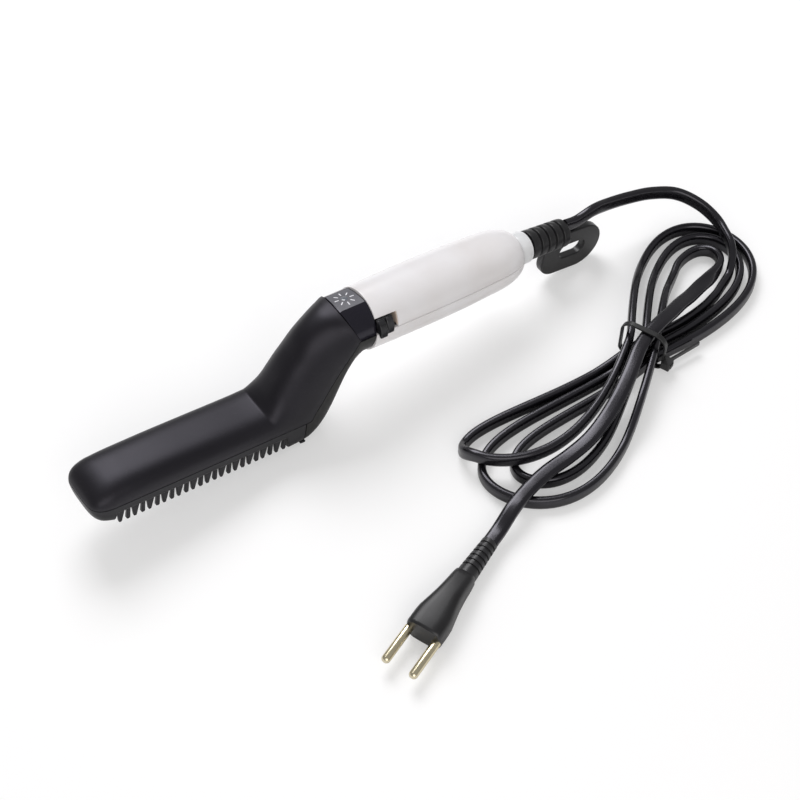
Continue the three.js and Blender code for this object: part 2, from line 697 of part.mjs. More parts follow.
function handleLowerShell() {
  const floor = -bellyRadius - 5;
  const body = solid(handleBody()).intersect(halfSpace(false));
  const boardPosts = boardScrewsAt.map((x) => rod([x, 0, floor], [x, 0, boardTop - boardThickness - gap], 2.6, 14));
  const clampPosts = [-1, 1].map((side) =>
    rod([clampAt, side * clampScrewOffset, floor], [clampAt, side * clampScrewOffset, cordThickness / 2], 1.9, 12));
  const saddle = box([clampAt - clampHalfLength, clampAt + clampHalfLength], [-3.2, 3.2], [floor, -cordThickness / 2 - gap]);
  const casePost = rod([caseScrewAt, 0, floor], [caseScrewAt, 0, sidePart + 1 - gap], 3.2, 14);
  const switchPost = box([spigotRear + 0.6, spigotRear + 4.6], [-8.2, -4.4], [floor, sidePart - gap]);
  const filled = handleFilled();
  const solids = [...boardPosts, ...clampPosts, saddle, casePost, switchPost].map((part) => solid(part).intersect(filled));
  let shell = solids.reduce((whole, part) => whole.add(part), body);
  for (const x of boardScrewsAt) {
    shell = shell.subtract(solid(rod([x, 0, -11], [x, 0, 5], screwPilotRadius, 10)));
  }
  for (const side of [-1, 1]) {
    shell = shell.subtract(solid(rod([clampAt, side * clampScrewOffset, -6], [clampAt, side * clampScrewOffset, 5],
      screwPilotRadius, 10)));
  }
  const counterbore = rod([caseScrewAt, 0, -30], [caseScrewAt, 0, caseScrewSeat], 2.6, 16);
  const through = rod([caseScrewAt, 0, -30], [caseScrewAt, 0, 10], screwPilotRadius, 10);
  return shell.subtract(solid(counterbore)).subtract(solid(through));
}

const caseScrewSeat = -8;

function caseScrew() {
  const head = rod([caseScrewAt, 0, caseScrewSeat - gap - 1.6], [caseScrewAt, 0, caseScrewSeat - gap], 2.3, 14);
  const shank = rod([caseScrewAt, 0, caseScrewSeat - gap - 0.2], [caseScrewAt, 0, 8], screwShankRadius, 10);
  return joined([head, shank]);
}

// Switch: knob in the slot, lever joining it to the slider, body on its post
const knobFront = handleStart + gap;
const stemFront = knobFront + 3.4;
const stemLength = 2.6;
const onRadius = (radius, height) => [-Math.sqrt(radius * radius - height * height), height];

function knob() {
  const low = sidePart + 0.5;
  const high = slotTop - gap;
  const outside = collarRadius + 0.75;
  const inside = collarRadius - 2.2;
  const base = bar([onRadius(inside, low), onRadius(outside, low), onRadius(outside, 5.2), onRadius(outside, 7.4),
    onRadius(outside, high), onRadius(inside, high)], knobFront, knobFront + knobLength);
  const side = [[0.3, 3.4], [1.6, 1.5], [2.9, 2.0], [2.6, 5.4], [0.6, 8.5], [-2.0, 9.2]];
  const grip = bar(side.map(([out, z]) => [-collarRadius - out, z]), knobFront, knobFront + knobGrip);
  const stem = box([stemFront, stemFront + stemLength], [1.6 - collarRadius, -6.2], [5.2, 7.2]);
  return joined([base, grip, stem]);
}

function switchBody() {
  const front = knobFront - 0.6;
  const face = -8.3;
  const body = solid(box([front, front + switchLength], [face, face + switchDepth], [sidePart, 8.6]));
  const travelSlot = box([stemFront - 2 * gap, stemFront + stemLength + switchTravel + 2 * gap], [face - 1, -5.7],
    [4.8, 7.6]);
  return body.subtract(solid(travelSlot));
}

function circuitBoard() {
  const board = solid(box([boardFront, boardRear], [-boardHalfWidth, boardHalfWidth], [boardTop - boardThickness, boardTop]));
  const corner = solid(box([handleStart + 2, slotEnd + 0.2], [-boardHalfWidth - 1, -3.9], [-10, 10]));
  return boardScrewsAt.reduce((whole, x) =>
    whole.subtract(solid(rod([x, 0, -10], [x, 0, 5], screwPilotRadius, 10))), board.subtract(corner));
}

const boardScrew = (x) => screw(x, 0, -9.5, boardTop + gap);

function axialPart(x, y, halfLength, radius, legRadius) {
  const z = boardTop + gap + radius;
  return joined([
    rod([x - halfLength, y, z], [x + halfLength, y, z], radius, 12),
    rod([x - halfLength - 2.6, y, z], [x + halfLength + 2.6, y, z], legRadius, 8),
    rod([x - halfLength - 2.2, y, boardTop + gap], [x - halfLength - 2.2, y, z], legRadius, 8),
    rod([x + halfLength + 2.2, y, boardTop + gap], [x + halfLength + 2.2, y, z], legRadius, 8),
  ]);
}

function clampBar() {
  const bottom = cordThickness / 2 + gap;
  const along = [clampAt - clampHalfLength, clampAt + clampHalfLength];
  const across = [-clampScrewOffset - 2, clampScrewOffset + 2];
  const bar0 = solid(box(along, across, [bottom, bottom + 2.2]));
  return [-1, 1].reduce((whole, side) => whole.subtract(solid(rod([clampAt, side * clampScrewOffset, -5],
    [clampAt, side * clampScrewOffset, 9], screwPilotRadius, 10))), bar0);
}

function clampScrew(side) {
  const seat = cordThickness / 2 + gap + 2.2 + gap;
  return screw(clampAt, side * clampScrewOffset, -5, seat, 1.9, 1.2);
}

const innerCordEnd = clampAt - 4.5;
const flangeFront = handleTail - wall - 1 - gap - 2.6;

const innerCord = () => bar(ellipsePoints(cordWidth / 2, cordThickness / 2, 12), innerCordEnd, flangeFront - gap);

function supplyWire(side) {
  const boardZ = boardTop + gap + 0.9;
  const points = [[innerCordEnd - gap, side * 1.45, 0], [innerCordEnd - 2.6, side * 1.6, 0],
    [innerCordEnd - 4.1, side * 4.4, -0.2], [caseScrewAt, side * 5.0, -0.7], [boardRear + 0.5, side * 4.9, boardZ],
    [boardRear - 3.4, side * 4.9, boardZ]];
  return wire(points, 0.9, 12);
}

// Guard frame to handle frame: the guard droops from its root
const guardMatrix = new THREE.Matrix4()
  .makeTranslation(guardRoot, 0, 0)
  .multiply(new THREE.Matrix4().makeRotationY(guardPitch));

const inGuard = (geometry) => geometry.applyMatrix4(guardMatrix);

function guardBody() {
  const profile = [[0, 0], [0, guardRadius]];
  const pitch = guardLength / guardRibs;
  for (let i = 1; i < guardRibs; i += 1) {
    const x = i * pitch;
    const radius = guardRadius + ((guardEndRadius - guardRadius) * x) / guardLength;
    profile.push([x - grooveWidth / 2, radius], [x - grooveWidth / 2 + 0.2, radius - grooveDepth],
      [x + grooveWidth / 2 - 0.2, radius - grooveDepth], [x + grooveWidth / 2, radius]);
  }
  profile.push([guardLength - 0.8, guardEndRadius], [guardLength, guardEndRadius - 0.8], [guardLength, 0]);
  return turned(profile, 24);
}

function loopPlate() {
  const radius = (loopTop - loopBottom) / 2;
  const middle = (loopTop + loopBottom) / 2;
  const outline = new THREE.Shape();
  outline.moveTo(loopLeft, loopTop);
  outline.lineTo(loopLeft, loopBottom + loopCorner);
  outline.absarc(loopLeft + loopCorner, loopBottom + loopCorner, loopCorner, Math.PI, 1.5 * Math.PI, false);
  outline.absarc(loopEndCentre, middle, radius, -Math.PI / 2, Math.PI / 2, false);
  const hole = new THREE.Path();
  hole.absarc(slotRight - slotCorner, slotUpper - slotCorner, slotCorner, 0, Math.PI / 2, false);
  hole.absarc(slotLeft + slotCorner, slotUpper - slotCorner, slotCorner, Math.PI / 2, Math.PI, false);
  hole.absarc(slotLeft + slotCorner, slotBottom + slotCorner, slotCorner, Math.PI, 1.5 * Math.PI, false);
  hole.absarc(slotRight - slotCorner, slotBottom + slotCorner, slotCorner, 1.5 * Math.PI, 2 * Math.PI, false);
  outline.holes.push(hole);
  return slab(outline, -loopThickness / 2, loopThickness / 2);
}

function cordGuard() {
  const neck = turned([[flangeFront, 0], [flangeFront, 7.4], [flangeFront + 2.6, 7.4], [flangeFront + 2.6, tailBore - 0.4],
    [guardRoot + 2, tailBore - 0.4], [guardRoot + 2, 0]], 24);
  return solid(inGuard(guardBody())).add(solid(inGuard(loopPlate()))).add(solid(neck));
}

// The device stands on its heel and on the loop's round end; the tip angle follows from both.
function restTilt() {
  const [heelX, heelZ] = headPoint(0.5, 0);
  const radius = (loopTop - loopBottom) / 2;
  const centre = new THREE.Vector3(loopEndCentre, 0, (loopTop + loopBottom) / 2).applyMatrix4(guardMatrix);
  const [dx, dz] = [centre.x - heelX, centre.z + axisHeight - heelZ];
  return Math.acos(radius / Math.hypot(dx, dz)) - Math.atan2(dx, dz);
}

const device = new THREE.Group();
const handle = new THREE.Group();
handle.position.set(0, 0, axisHeight);
device.add(handle);

const outer = bodyOuter();
const inner = bodyInner();
piece(device, 'head_upper_shell', headUpperShell(outer, inner), looks.shell);
piece(device, 'neck_lower_cover', neckLowerCover(outer, inner), looks.cover);
piece(device, 'neck_screw', neckScrew(), looks.steel);
piece(device, 'comb_frame', combFrame(outer), looks.frame);
piece(device, 'heater_plate', heaterPlate(), looks.aluminium);
for (let i = 0; i < stoneCount; i += 1) {
  piece(device, `heating_stone_${i + 1}`, stone(i), looks.ceramic);
}
piece(device, 'insulation_sheet', layer(sheetBottom, sheetThickness, plateHalfWidth - 1.4), looks.film);
piece(device, 'retainer_plate', layer(retainerBottom, retainerThickness, plateHalfWidth - 2.2), looks.steel);
heaterScrewsAt.forEach((x, i) => piece(device, `heater_screw_${i + 1}`, heaterScrew(x), looks.steel));
piece(device, 'thermal_fuse', thermalFuse(), looks.fuse);
piece(device, 'heater_lead_live', heaterLead(-1), looks.red);
piece(device, 'heater_lead_neutral', heaterLead(1), looks.silicone);
piece(device, 'indicator_collar', collarBand(), looks.collar);
piece(device, 'indicator_lens', lens(), looks.lens);
piece(device, 'indicator_led', led(), looks.led);

piece(handle, 'handle_upper_shell', handleUpperShell(), looks.pearl);
piece(handle, 'handle_lower_shell', handleLowerShell(), looks.pearl);
piece(handle, 'case_screw', caseScrew(), looks.steel);
piece(handle, 'tail_ring', ring(handleTail + gap, tailSpigotEnd + 0.2, tailRingRadius, tailSpigotRadius + gap, 36), looks.ring);
piece(handle, 'switch_knob', knob(), looks.knob);
piece(handle, 'switch_body', switchBody(), looks.cover);
piece(handle, 'circuit_board', circuitBoard(), looks.board);
boardScrewsAt.forEach((x, i) => piece(handle, `board_screw_${i + 1}`, boardScrew(x), looks.steel));
const boardSpan = boardScrewsAt[1] - boardScrewsAt[0];
const onBoard = (share) => boardScrewsAt[0] + share * boardSpan;
piece(handle, 'dropper_capacitor', box([onBoard(0.176), onBoard(0.544)], [-4, 3], [boardTop + gap, 7]), looks.red);
piece(handle, 'rectifier_diode', axialPart(onBoard(0.779), -4, boardSpan * 0.065, 1.2, 0.35), looks.knob);
piece(handle, 'dropper_resistor', axialPart(onBoard(0.773), 3.6, boardSpan * 0.132, 1.9, 0.4), looks.silicone);
piece(handle, 'cord_clamp', clampBar(), looks.cover);
[-1, 1].forEach((side, i) => piece(handle, `clamp_screw_${i + 1}`, clampScrew(side), looks.steel));
piece(handle, 'inner_cord', innerCord(), looks.cord);
piece(handle, 'supply_wire_live', supplyWire(-1), looks.red);
piece(handle, 'supply_wire_neutral', supplyWire(1), looks.silicone);
piece(handle, 'cord_guard', cordGuard(), looks.rubber);

device.rotation.y = restTilt();
device.updateMatrixWorld(true);
const deviceBox = new THREE.Box3().setFromObject(device, true);
const deviceMiddle = deviceBox.getCenter(new THREE.Vector3());
device.position.set(-deviceMiddle.x, -deviceMiddle.y, -deviceBox.min.z);
device.updateMatrixWorld(true);

// Hank, in its own frame: s runs from the tie towards the far lobe, r to its left
const hankAxis = new THREE.Vector2(Math.cos(hankTurn), Math.sin(hankTurn));
const hankLeft = new THREE.Vector2(-hankAxis.y, hankAxis.x);
const floorLevel = cordWidth / 2 + 0.15;
const strapLift = tieStrap + gap;

const smooth = (value) => {
  const clamped = Math.min(Math.max(value, 0), 1);
  return clamped * clamped * (3 - 2 * clamped);
};

function onFloor(s, r, z) {
  const place = tieCentre.clone().addScaledVector(hankAxis, s).addScaledVector(hankLeft, r);
  return new THREE.Vector3(place.x, place.y, z);
}

// Figure-of-eight winding: odd lobes are the far ones. A strand from the near end rides over the others
// round the waist, and the first one does so all the way from its lobe's end.
function hankPoint(angle) {
  const pass = Math.floor(angle / Math.PI);
  const within = angle - pass * Math.PI;
  const far = pass % 2 !== 0;
  const lobe = pass < 0 ? entryLobe : hankLobes[pass];
  const place = waistPlaces[Math.max(pass, 0)];
  const nextPlace = waistPlaces[pass + 1];
  const s = (far ? 1 : -1) * lobe.length * Math.sin(within);
  const bow = (lobe.shift + lobe.skew * Math.cos(within)) * Math.sin(within) ** 2;
  const offset = hankPitch * (place + (nextPlace - place) * smooth(within / Math.PI));
  const r = lobe.width * Math.sin(2 * within) + bow + offset;
  const upper = far ? within < Math.PI / 2 : within > Math.PI / 2;
  const climb = pass === 0 ? smooth((within - 1.15) / 0.5) : smooth((54 - Math.abs(s)) / 32);
  const over = upper || pass === 0 ? climb : 0;
  const lift = strapLift * smooth((26 - Math.abs(s)) / 20);
  return onFloor(s, r, floorLevel + lift + over * (cordWidth + levelGap));
}

function hankPath() {
  const [start, end] = [-hankEntryAngle, Math.PI * (hankLobes.length - 1) + hankTailAngle];
  const steps = Math.round((hankStepsPerLobe * (end - start)) / Math.PI);
  const points = [];
  for (let i = 0; i <= steps; i += 1) {
    points.push(hankPoint(start + ((end - start) * i) / steps));
  }
  const straighten = (tip, next) => {
    const along = tip.clone().sub(next).setZ(0).normalize();
    const base = tip.clone().addScaledVector(along, -cordWidth).setZ(tip.z);
    return base;
  };
  points.splice(1, 0, straighten(points[0], points[1]));
  points.splice(points.length - 1, 0, straighten(points[points.length - 1], points[points.length - 2]));
  return points;
}

// A flat cord along the points: its broad side stands upright, or leans by the roll at each point
function flatCord(points, section, roll = () => 0) {
  const up = new THREE.Vector3(0, 0, 1);
  const rings = points.map((point, i) => {
    const before = points[Math.max(i - 1, 0)];
    const after = points[Math.min(i + 1, points.length - 1)];
    const along = after.clone().sub(before).normalize();
    const across = new THREE.Vector3().crossVectors(up, along).normalize();
    const over = new THREE.Vector3().crossVectors(along, across).normalize();
    const lean = roll(i / (points.length - 1));
    return section.map(([x, y]) => point.clone()
      .addScaledVector(across, x * Math.cos(lean) - y * Math.sin(lean))
      .addScaledVector(over, x * Math.sin(lean) + y * Math.cos(lean)));
  });
  return loft(rings);
}

const roundedSection = (corner) => [[1, 0], [corner, 1], [-corner, 1], [-1, 0], [-corner, -1], [corner, -1]]
  .map(([x, y]) => [(x * cordThickness) / 2, (y * cordWidth) / 2]);
const hankSection = roundedSection(0.6);
const freeSection = [[1, 0.45], [0.5, 1], [-0.5, 1], [-1, 0.45], [-1, -0.45], [-0.5, -1], [0.5, -1], [1, -0.45]]
  .map(([x, y]) => [(x * cordThickness) / 2, (y * cordWidth) / 2]);

function curvePoints(route, steps) {
  const path = new THREE.CatmullRomCurve3(route.map((point) => new THREE.Vector3(...point)), false, 'centripetal');
  return path.getSpacedPoints(steps);
}

// Least gap of the winding to itself: centres at least a lobe's eighth apart along the cord,
// less the section's reach in the direction between them
function leastGap(points) {
  const samples = [];
  for (let i = 0; i + 1 < points.length; i += 1) {
    for (let k = 0; k < 4; k += 1) {
      samples.push(points[i].clone().lerp(points[i + 1], k / 4));
    }
  }
  let least = Infinity;
  for (let i = 0; i < samples.length; i += 1) {
    for (let k = i + 16; k < samples.length; k += 1) {
      const apart = samples[k].clone().sub(samples[i]);
      const flat = Math.hypot(apart.x, apart.y) / (cordThickness / 2) / 1.0;
      const tall = Math.abs(apart.z) / (cordWidth / 2);
      const scale = Math.hypot(flat, tall);
      const room = apart.length() * (1 - 2 / scale);
      least = Math.min(least, room);
    }
  }
  return least;
}

const cordGroup = new THREE.Group();
const hankPoints = hankPath();
console.log(`hank: least gap to itself ${leastGap(hankPoints).toFixed(2)} mm`);
piece(cordGroup, 'cord_hank', flatCord(hankPoints, hankSection), looks.cord);

// Lead: out of the guard, over the far lobe and down beside the winding's first strand
const guardExit = new THREE.Vector3(guardLength, 0, cordExitRise).applyMatrix4(guardMatrix);
guardExit.z += axisHeight;
guardExit.applyMatrix4(device.matrixWorld);
const guardAim = new THREE.Vector3(1, 0, 0).transformDirection(guardMatrix).transformDirection(device.matrixWorld);
const hankEntry = hankPoints[0];
const entryAim = hankPoints[0].clone().sub(hankPoints[1]).setZ(0).normalize();
const overTips = floorLevel + cordWidth + 0.75;
const leadRoute = [
  [138.6, 1.2, 31.2],
  [148.0, 1.9, 28.8],
  [160.8, 1.0, 26.2],
  [174.3, -1.8, 23.8],
  [186.0, -7.7, 21.2],
  [193.2, -17.8, 17.4],
  [195.8, -28.4, overTips + 2],
  [194.2, -35.8, overTips + 0.9],
  [192.4, -41.8, overTips],
  [189.4, -47.2, 8.7],
  [186.2, -50.2, 6.0],
];
const leadPoints = [
  guardExit.clone().addScaledVector(guardAim, gap).toArray(),
  guardExit.clone().addScaledVector(guardAim, gap + cordWidth).toArray(),
  ...leadRoute,
  hankEntry.clone().addScaledVector(entryAim, gap + cordWidth).setZ(floorLevel + 0.3).toArray(),
  hankEntry.clone().addScaledVector(entryAim, gap).toArray(),
];
piece(cordGroup, 'cord_lead', flatCord(curvePoints(leadPoints, 44), freeSection), looks.cord);

// Tail: up over the waist, broad side up, then down across the near lobe's ends to the plug
const tailStart = hankPoints[hankPoints.length - 1];
const tailAim = tailStart.clone().sub(hankPoints[hankPoints.length - 2]).setZ(0).normalize();
const waistTop = floorLevel + strapLift + cordWidth * 1.5 + levelGap;
const overWaist = waistTop + levelGap + cordThickness / 2;
const overLoops = floorLevel + cordWidth / 2 + levelGap + cordThickness / 2;
const reliefLength = 20;
const plugAim = new THREE.Vector3(-hankAxis.x, -hankAxis.y, 0).normalize();
const plugRear = onFloor(-150, 4.4, plugHalfWidth + 0.1);
const reliefRear = plugRear.clone().addScaledVector(plugAim, -reliefLength);
const tailPoints = [
  tailStart.clone().addScaledVector(tailAim, gap).toArray(),
  tailStart.clone().addScaledVector(tailAim, gap + cordWidth).toArray(),
  onFloor(68.5, 9.6, floorLevel + 0.2).toArray(),
  onFloor(73.3, 6.2, floorLevel + 0.7).toArray(),
  onFloor(75, 1.6, floorLevel + 1.4).toArray(),
  onFloor(73.3, -3, floorLevel + 2.4).toArray(),
  onFloor(68.5, -6.4, floorLevel + 3.6).toArray(),
  onFloor(62, -7.5, floorLevel + 4.7).toArray(),
  onFloor(54.5, -7.1, floorLevel + 5.9).toArray(),
  onFloor(47, -6.2, floorLevel + 7.3).toArray(),
  onFloor(37, -5.4, floorLevel + 9.0).toArray(),
  onFloor(28, -4.4, floorLevel + 11.4).toArray(),
  onFloor(20, -4.0, overWaist - 1.6).toArray(),
  onFloor(11, -3.0, overWaist - 0.1).toArray(),
  onFloor(0, -1.8, overWaist).toArray(),
  onFloor(-9, -2.2, overWaist).toArray(),
  onFloor(-20.5, -4.4, overWaist - 0.9).toArray(),
  onFloor(-35, -6.4, overWaist - 3.2).toArray(),
  onFloor(-48, -6.8, overWaist - 5.8).toArray(),
  onFloor(-61, -5.8, overLoops + 1.4).toArray(),
  onFloor(-73.5, -2.6, overLoops + 0.4).toArray(),
  onFloor(-86, 1.4, overLoops + 0.2).toArray(),
  onFloor(-98, 3.6, overLoops + 0.2).toArray(),
  onFloor(-110, 4.4, overLoops).toArray(),
  reliefRear.clone().addScaledVector(plugAim, -gap - cordWidth).toArray(),
  reliefRear.clone().addScaledVector(plugAim, -gap).toArray(),
];
const layFlat = (share) => (Math.PI / 2) * smooth((share - 0.16) / 0.12);
piece(cordGroup, 'cord_tail', flatCord(curvePoints(tailPoints, 56), freeSection, layFlat), looks.cord);

function plugPlaced(geometry) {
  const turn = new THREE.Quaternion().setFromUnitVectors(new THREE.Vector3(1, 0, 0), plugAim);
  return geometry.applyQuaternion(turn).translate(plugRear.x, plugRear.y, plugRear.z);
}

function plugBody() {
  const side = new THREE.Shape([[0, -4.8], [9, -5.7], [plugLength - 10, -8.4], [plugLength, -8.4], [plugLength, 8.4],
    [plugLength - 10, 8.4], [9, 5.7], [0, 4.8]].map(([x, y]) => new THREE.Vector2(x, y)));
  const geometry = new THREE.ExtrudeGeometry(side, { depth: 2 * plugHalfWidth - 2, bevelThickness: 1, bevelSize: 1,
    bevelSegments: 2, bevelOffset: -1 });
  return geometry.translate(0, 0, -plugHalfWidth + 1);
}

const reliefProfile = [[-reliefLength, 0], [-reliefLength, cordWidth / 2 + 0.2], [-gap, cordWidth / 2 + 1.1], [-gap, 0]];
const plugRelief = () => turned(reliefProfile, 16);
const plugPin = (side) =>
  rod([plugLength + gap, side * pinSpread, 0], [plugLength + gap + pinLength, side * pinSpread, 0], pinRadius, 12);
piece(cordGroup, 'plug_body', plugPlaced(plugBody()), looks.rubber);
[-1, 1].forEach((side, i) => piece(cordGroup, `plug_pin_${i + 1}`, plugPlaced(plugPin(side)), looks.brass));
piece(cordGroup, 'plug_relief', plugPlaced(plugRelief()), looks.rubber);

// Cable tie round the waist
const waistHalf = hankPitch * 1.18 + cordThickness / 2 + 2.2;
const bundleTop = overWaist + cordThickness / 2 + gap;

function strapGeometry() {
  const outline = new THREE.Shape();
  const loop = (path, halfWidth, low, high, corner) => {
    path.absarc(halfWidth - corner, high - corner, corner, 0, Math.PI / 2, false);
    path.absarc(-halfWidth + corner, high - corner, corner, Math.PI / 2, Math.PI, false);
    path.absarc(-halfWidth + corner, low + corner, corner, Math.PI, 1.5 * Math.PI, false);
    path.absarc(halfWidth - corner, low + corner, corner, 1.5 * Math.PI, 2 * Math.PI, false);
    return path;
  };
  loop(outline, waistHalf + tieStrap, 0, bundleTop + tieStrap, 5);
  outline.holes.push(loop(new THREE.Path(), waistHalf, tieStrap, bundleTop, 3));
  const geometry = new THREE.ExtrudeGeometry(outline, { depth: tieWidth, bevelEnabled: false, curveSegments: 4 });
  geometry.translate(0, 0, -tieWidth / 2).rotateX(Math.PI / 2).rotateZ(Math.PI / 2 + hankTurn);
  return geometry.translate(tieCentre.x, tieCentre.y, 0);
}

function tiePlaced(geometry) {
  return geometry.rotateZ(hankTurn).translate(tieCentre.x, tieCentre.y, 0);
}

const tieSide = -(waistHalf + tieStrap / 2);
const tieHead = box([-2.6, 2.6], [tieSide - 4.4, tieSide], [3.4, 7.8]);
const tieTail = box([0, 19], [-0.6, 0.6], [4.4, 6.8]).rotateZ(THREE.MathUtils.degToRad(-22)).translate(1.6, tieSide - 2, 0);
piece(cordGroup, 'cable_tie', joined([strapGeometry(), tiePlaced(tieHead), tiePlaced(tieTail)]), looks.cord);

const comb = new THREE.Group();
comb.add(device, cordGroup);
export default comb;
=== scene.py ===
"""Electric hair comb on a pale floor: offset toothed head, pearl handle, hang loop and tied flat cord.

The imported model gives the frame. Sizes below are millimetres in the handle's own directions
(u along the handle towards the cord, v across it, w up from the heel's sole) and become metres
in the frame when a mesh is made.
"""

import json
import logging
import math
from dataclasses import dataclass
from enum import Enum
from typing import ClassVar

import bmesh
import bpy
import numpy as np
from mathutils import Matrix, Vector
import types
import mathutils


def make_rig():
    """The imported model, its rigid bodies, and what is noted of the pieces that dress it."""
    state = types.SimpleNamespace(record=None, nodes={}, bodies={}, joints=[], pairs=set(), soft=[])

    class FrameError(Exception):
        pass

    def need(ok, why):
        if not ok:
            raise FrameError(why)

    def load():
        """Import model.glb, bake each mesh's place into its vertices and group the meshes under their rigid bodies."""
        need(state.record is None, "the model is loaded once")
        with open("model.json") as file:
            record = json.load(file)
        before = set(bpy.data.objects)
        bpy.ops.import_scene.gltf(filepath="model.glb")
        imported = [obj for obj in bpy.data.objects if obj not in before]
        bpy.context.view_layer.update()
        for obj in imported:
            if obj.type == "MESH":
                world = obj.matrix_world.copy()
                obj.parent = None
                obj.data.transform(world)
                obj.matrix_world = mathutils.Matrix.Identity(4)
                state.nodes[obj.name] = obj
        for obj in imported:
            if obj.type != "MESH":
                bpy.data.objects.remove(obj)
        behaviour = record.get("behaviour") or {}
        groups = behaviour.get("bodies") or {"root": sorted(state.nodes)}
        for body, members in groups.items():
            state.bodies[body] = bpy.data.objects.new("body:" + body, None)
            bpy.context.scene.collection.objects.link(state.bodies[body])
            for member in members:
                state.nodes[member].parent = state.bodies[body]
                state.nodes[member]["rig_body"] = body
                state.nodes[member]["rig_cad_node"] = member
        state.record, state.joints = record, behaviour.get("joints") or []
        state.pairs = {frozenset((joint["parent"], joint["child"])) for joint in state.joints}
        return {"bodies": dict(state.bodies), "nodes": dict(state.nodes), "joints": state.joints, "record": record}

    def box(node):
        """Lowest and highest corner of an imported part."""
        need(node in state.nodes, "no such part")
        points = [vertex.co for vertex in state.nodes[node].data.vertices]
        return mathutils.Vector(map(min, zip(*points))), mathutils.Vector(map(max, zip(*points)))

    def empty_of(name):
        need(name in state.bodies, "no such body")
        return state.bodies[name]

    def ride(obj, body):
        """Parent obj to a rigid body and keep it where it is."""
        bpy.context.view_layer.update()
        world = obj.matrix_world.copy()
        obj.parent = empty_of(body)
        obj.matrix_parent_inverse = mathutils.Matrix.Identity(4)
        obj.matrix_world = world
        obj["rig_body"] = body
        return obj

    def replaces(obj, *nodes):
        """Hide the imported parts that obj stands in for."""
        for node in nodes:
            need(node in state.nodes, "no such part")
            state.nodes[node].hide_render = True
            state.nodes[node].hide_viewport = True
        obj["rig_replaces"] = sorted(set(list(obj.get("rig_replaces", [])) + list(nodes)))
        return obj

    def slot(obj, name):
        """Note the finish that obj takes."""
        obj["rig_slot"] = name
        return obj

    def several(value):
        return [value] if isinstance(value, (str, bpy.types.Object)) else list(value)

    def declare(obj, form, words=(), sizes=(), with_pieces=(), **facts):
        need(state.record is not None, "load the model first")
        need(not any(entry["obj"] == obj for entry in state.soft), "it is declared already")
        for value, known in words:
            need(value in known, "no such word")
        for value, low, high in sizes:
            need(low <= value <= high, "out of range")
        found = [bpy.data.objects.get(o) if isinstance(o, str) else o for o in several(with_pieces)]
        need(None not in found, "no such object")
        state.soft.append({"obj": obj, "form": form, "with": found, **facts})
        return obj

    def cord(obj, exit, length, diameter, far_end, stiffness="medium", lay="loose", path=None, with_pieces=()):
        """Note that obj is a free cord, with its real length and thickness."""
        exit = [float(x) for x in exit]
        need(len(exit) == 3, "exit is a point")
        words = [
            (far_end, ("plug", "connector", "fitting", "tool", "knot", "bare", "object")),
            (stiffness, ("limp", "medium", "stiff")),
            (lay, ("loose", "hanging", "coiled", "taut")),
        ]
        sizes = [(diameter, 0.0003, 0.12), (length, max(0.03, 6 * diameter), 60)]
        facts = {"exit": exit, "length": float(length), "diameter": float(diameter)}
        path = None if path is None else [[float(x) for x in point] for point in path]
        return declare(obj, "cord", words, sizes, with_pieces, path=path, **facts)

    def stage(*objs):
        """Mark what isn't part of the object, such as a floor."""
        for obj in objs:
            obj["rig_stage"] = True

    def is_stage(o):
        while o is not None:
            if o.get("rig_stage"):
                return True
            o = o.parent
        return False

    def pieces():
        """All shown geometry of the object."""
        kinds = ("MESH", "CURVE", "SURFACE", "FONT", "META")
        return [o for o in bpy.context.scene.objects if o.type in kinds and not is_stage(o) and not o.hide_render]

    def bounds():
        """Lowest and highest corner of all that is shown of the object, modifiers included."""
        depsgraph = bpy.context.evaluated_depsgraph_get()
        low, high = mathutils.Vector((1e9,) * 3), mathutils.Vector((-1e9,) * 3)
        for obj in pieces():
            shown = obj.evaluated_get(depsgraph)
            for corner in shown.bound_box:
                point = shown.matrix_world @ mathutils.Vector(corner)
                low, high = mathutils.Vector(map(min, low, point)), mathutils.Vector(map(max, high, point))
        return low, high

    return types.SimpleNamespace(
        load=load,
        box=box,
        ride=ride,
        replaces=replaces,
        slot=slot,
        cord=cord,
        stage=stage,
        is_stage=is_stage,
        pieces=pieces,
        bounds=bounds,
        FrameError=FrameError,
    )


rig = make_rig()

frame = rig.load()

log = logging.getLogger("hair_comb")

MM = 0.001
SIZE_FILE = "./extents.json"
WHITE = (1.0, 1.0, 1.0, 1.0)

# Two points closer than this, in metres, are one
WELD = 0.5e-5

Point2 = tuple[float, float]
Point3 = tuple[float, float, float]
Colour = tuple[float, float, float]
Mesh = tuple[list, list]


class Half(Enum):
    """Which side of the parting line a moulded half lies on."""

    UPPER = 1
    LOWER = -1


class Lay(Enum):
    """How a stretch of flat cord turns its broad side."""

    ON_EDGE = 0.0
    FLAT = math.pi / 2


# Frames


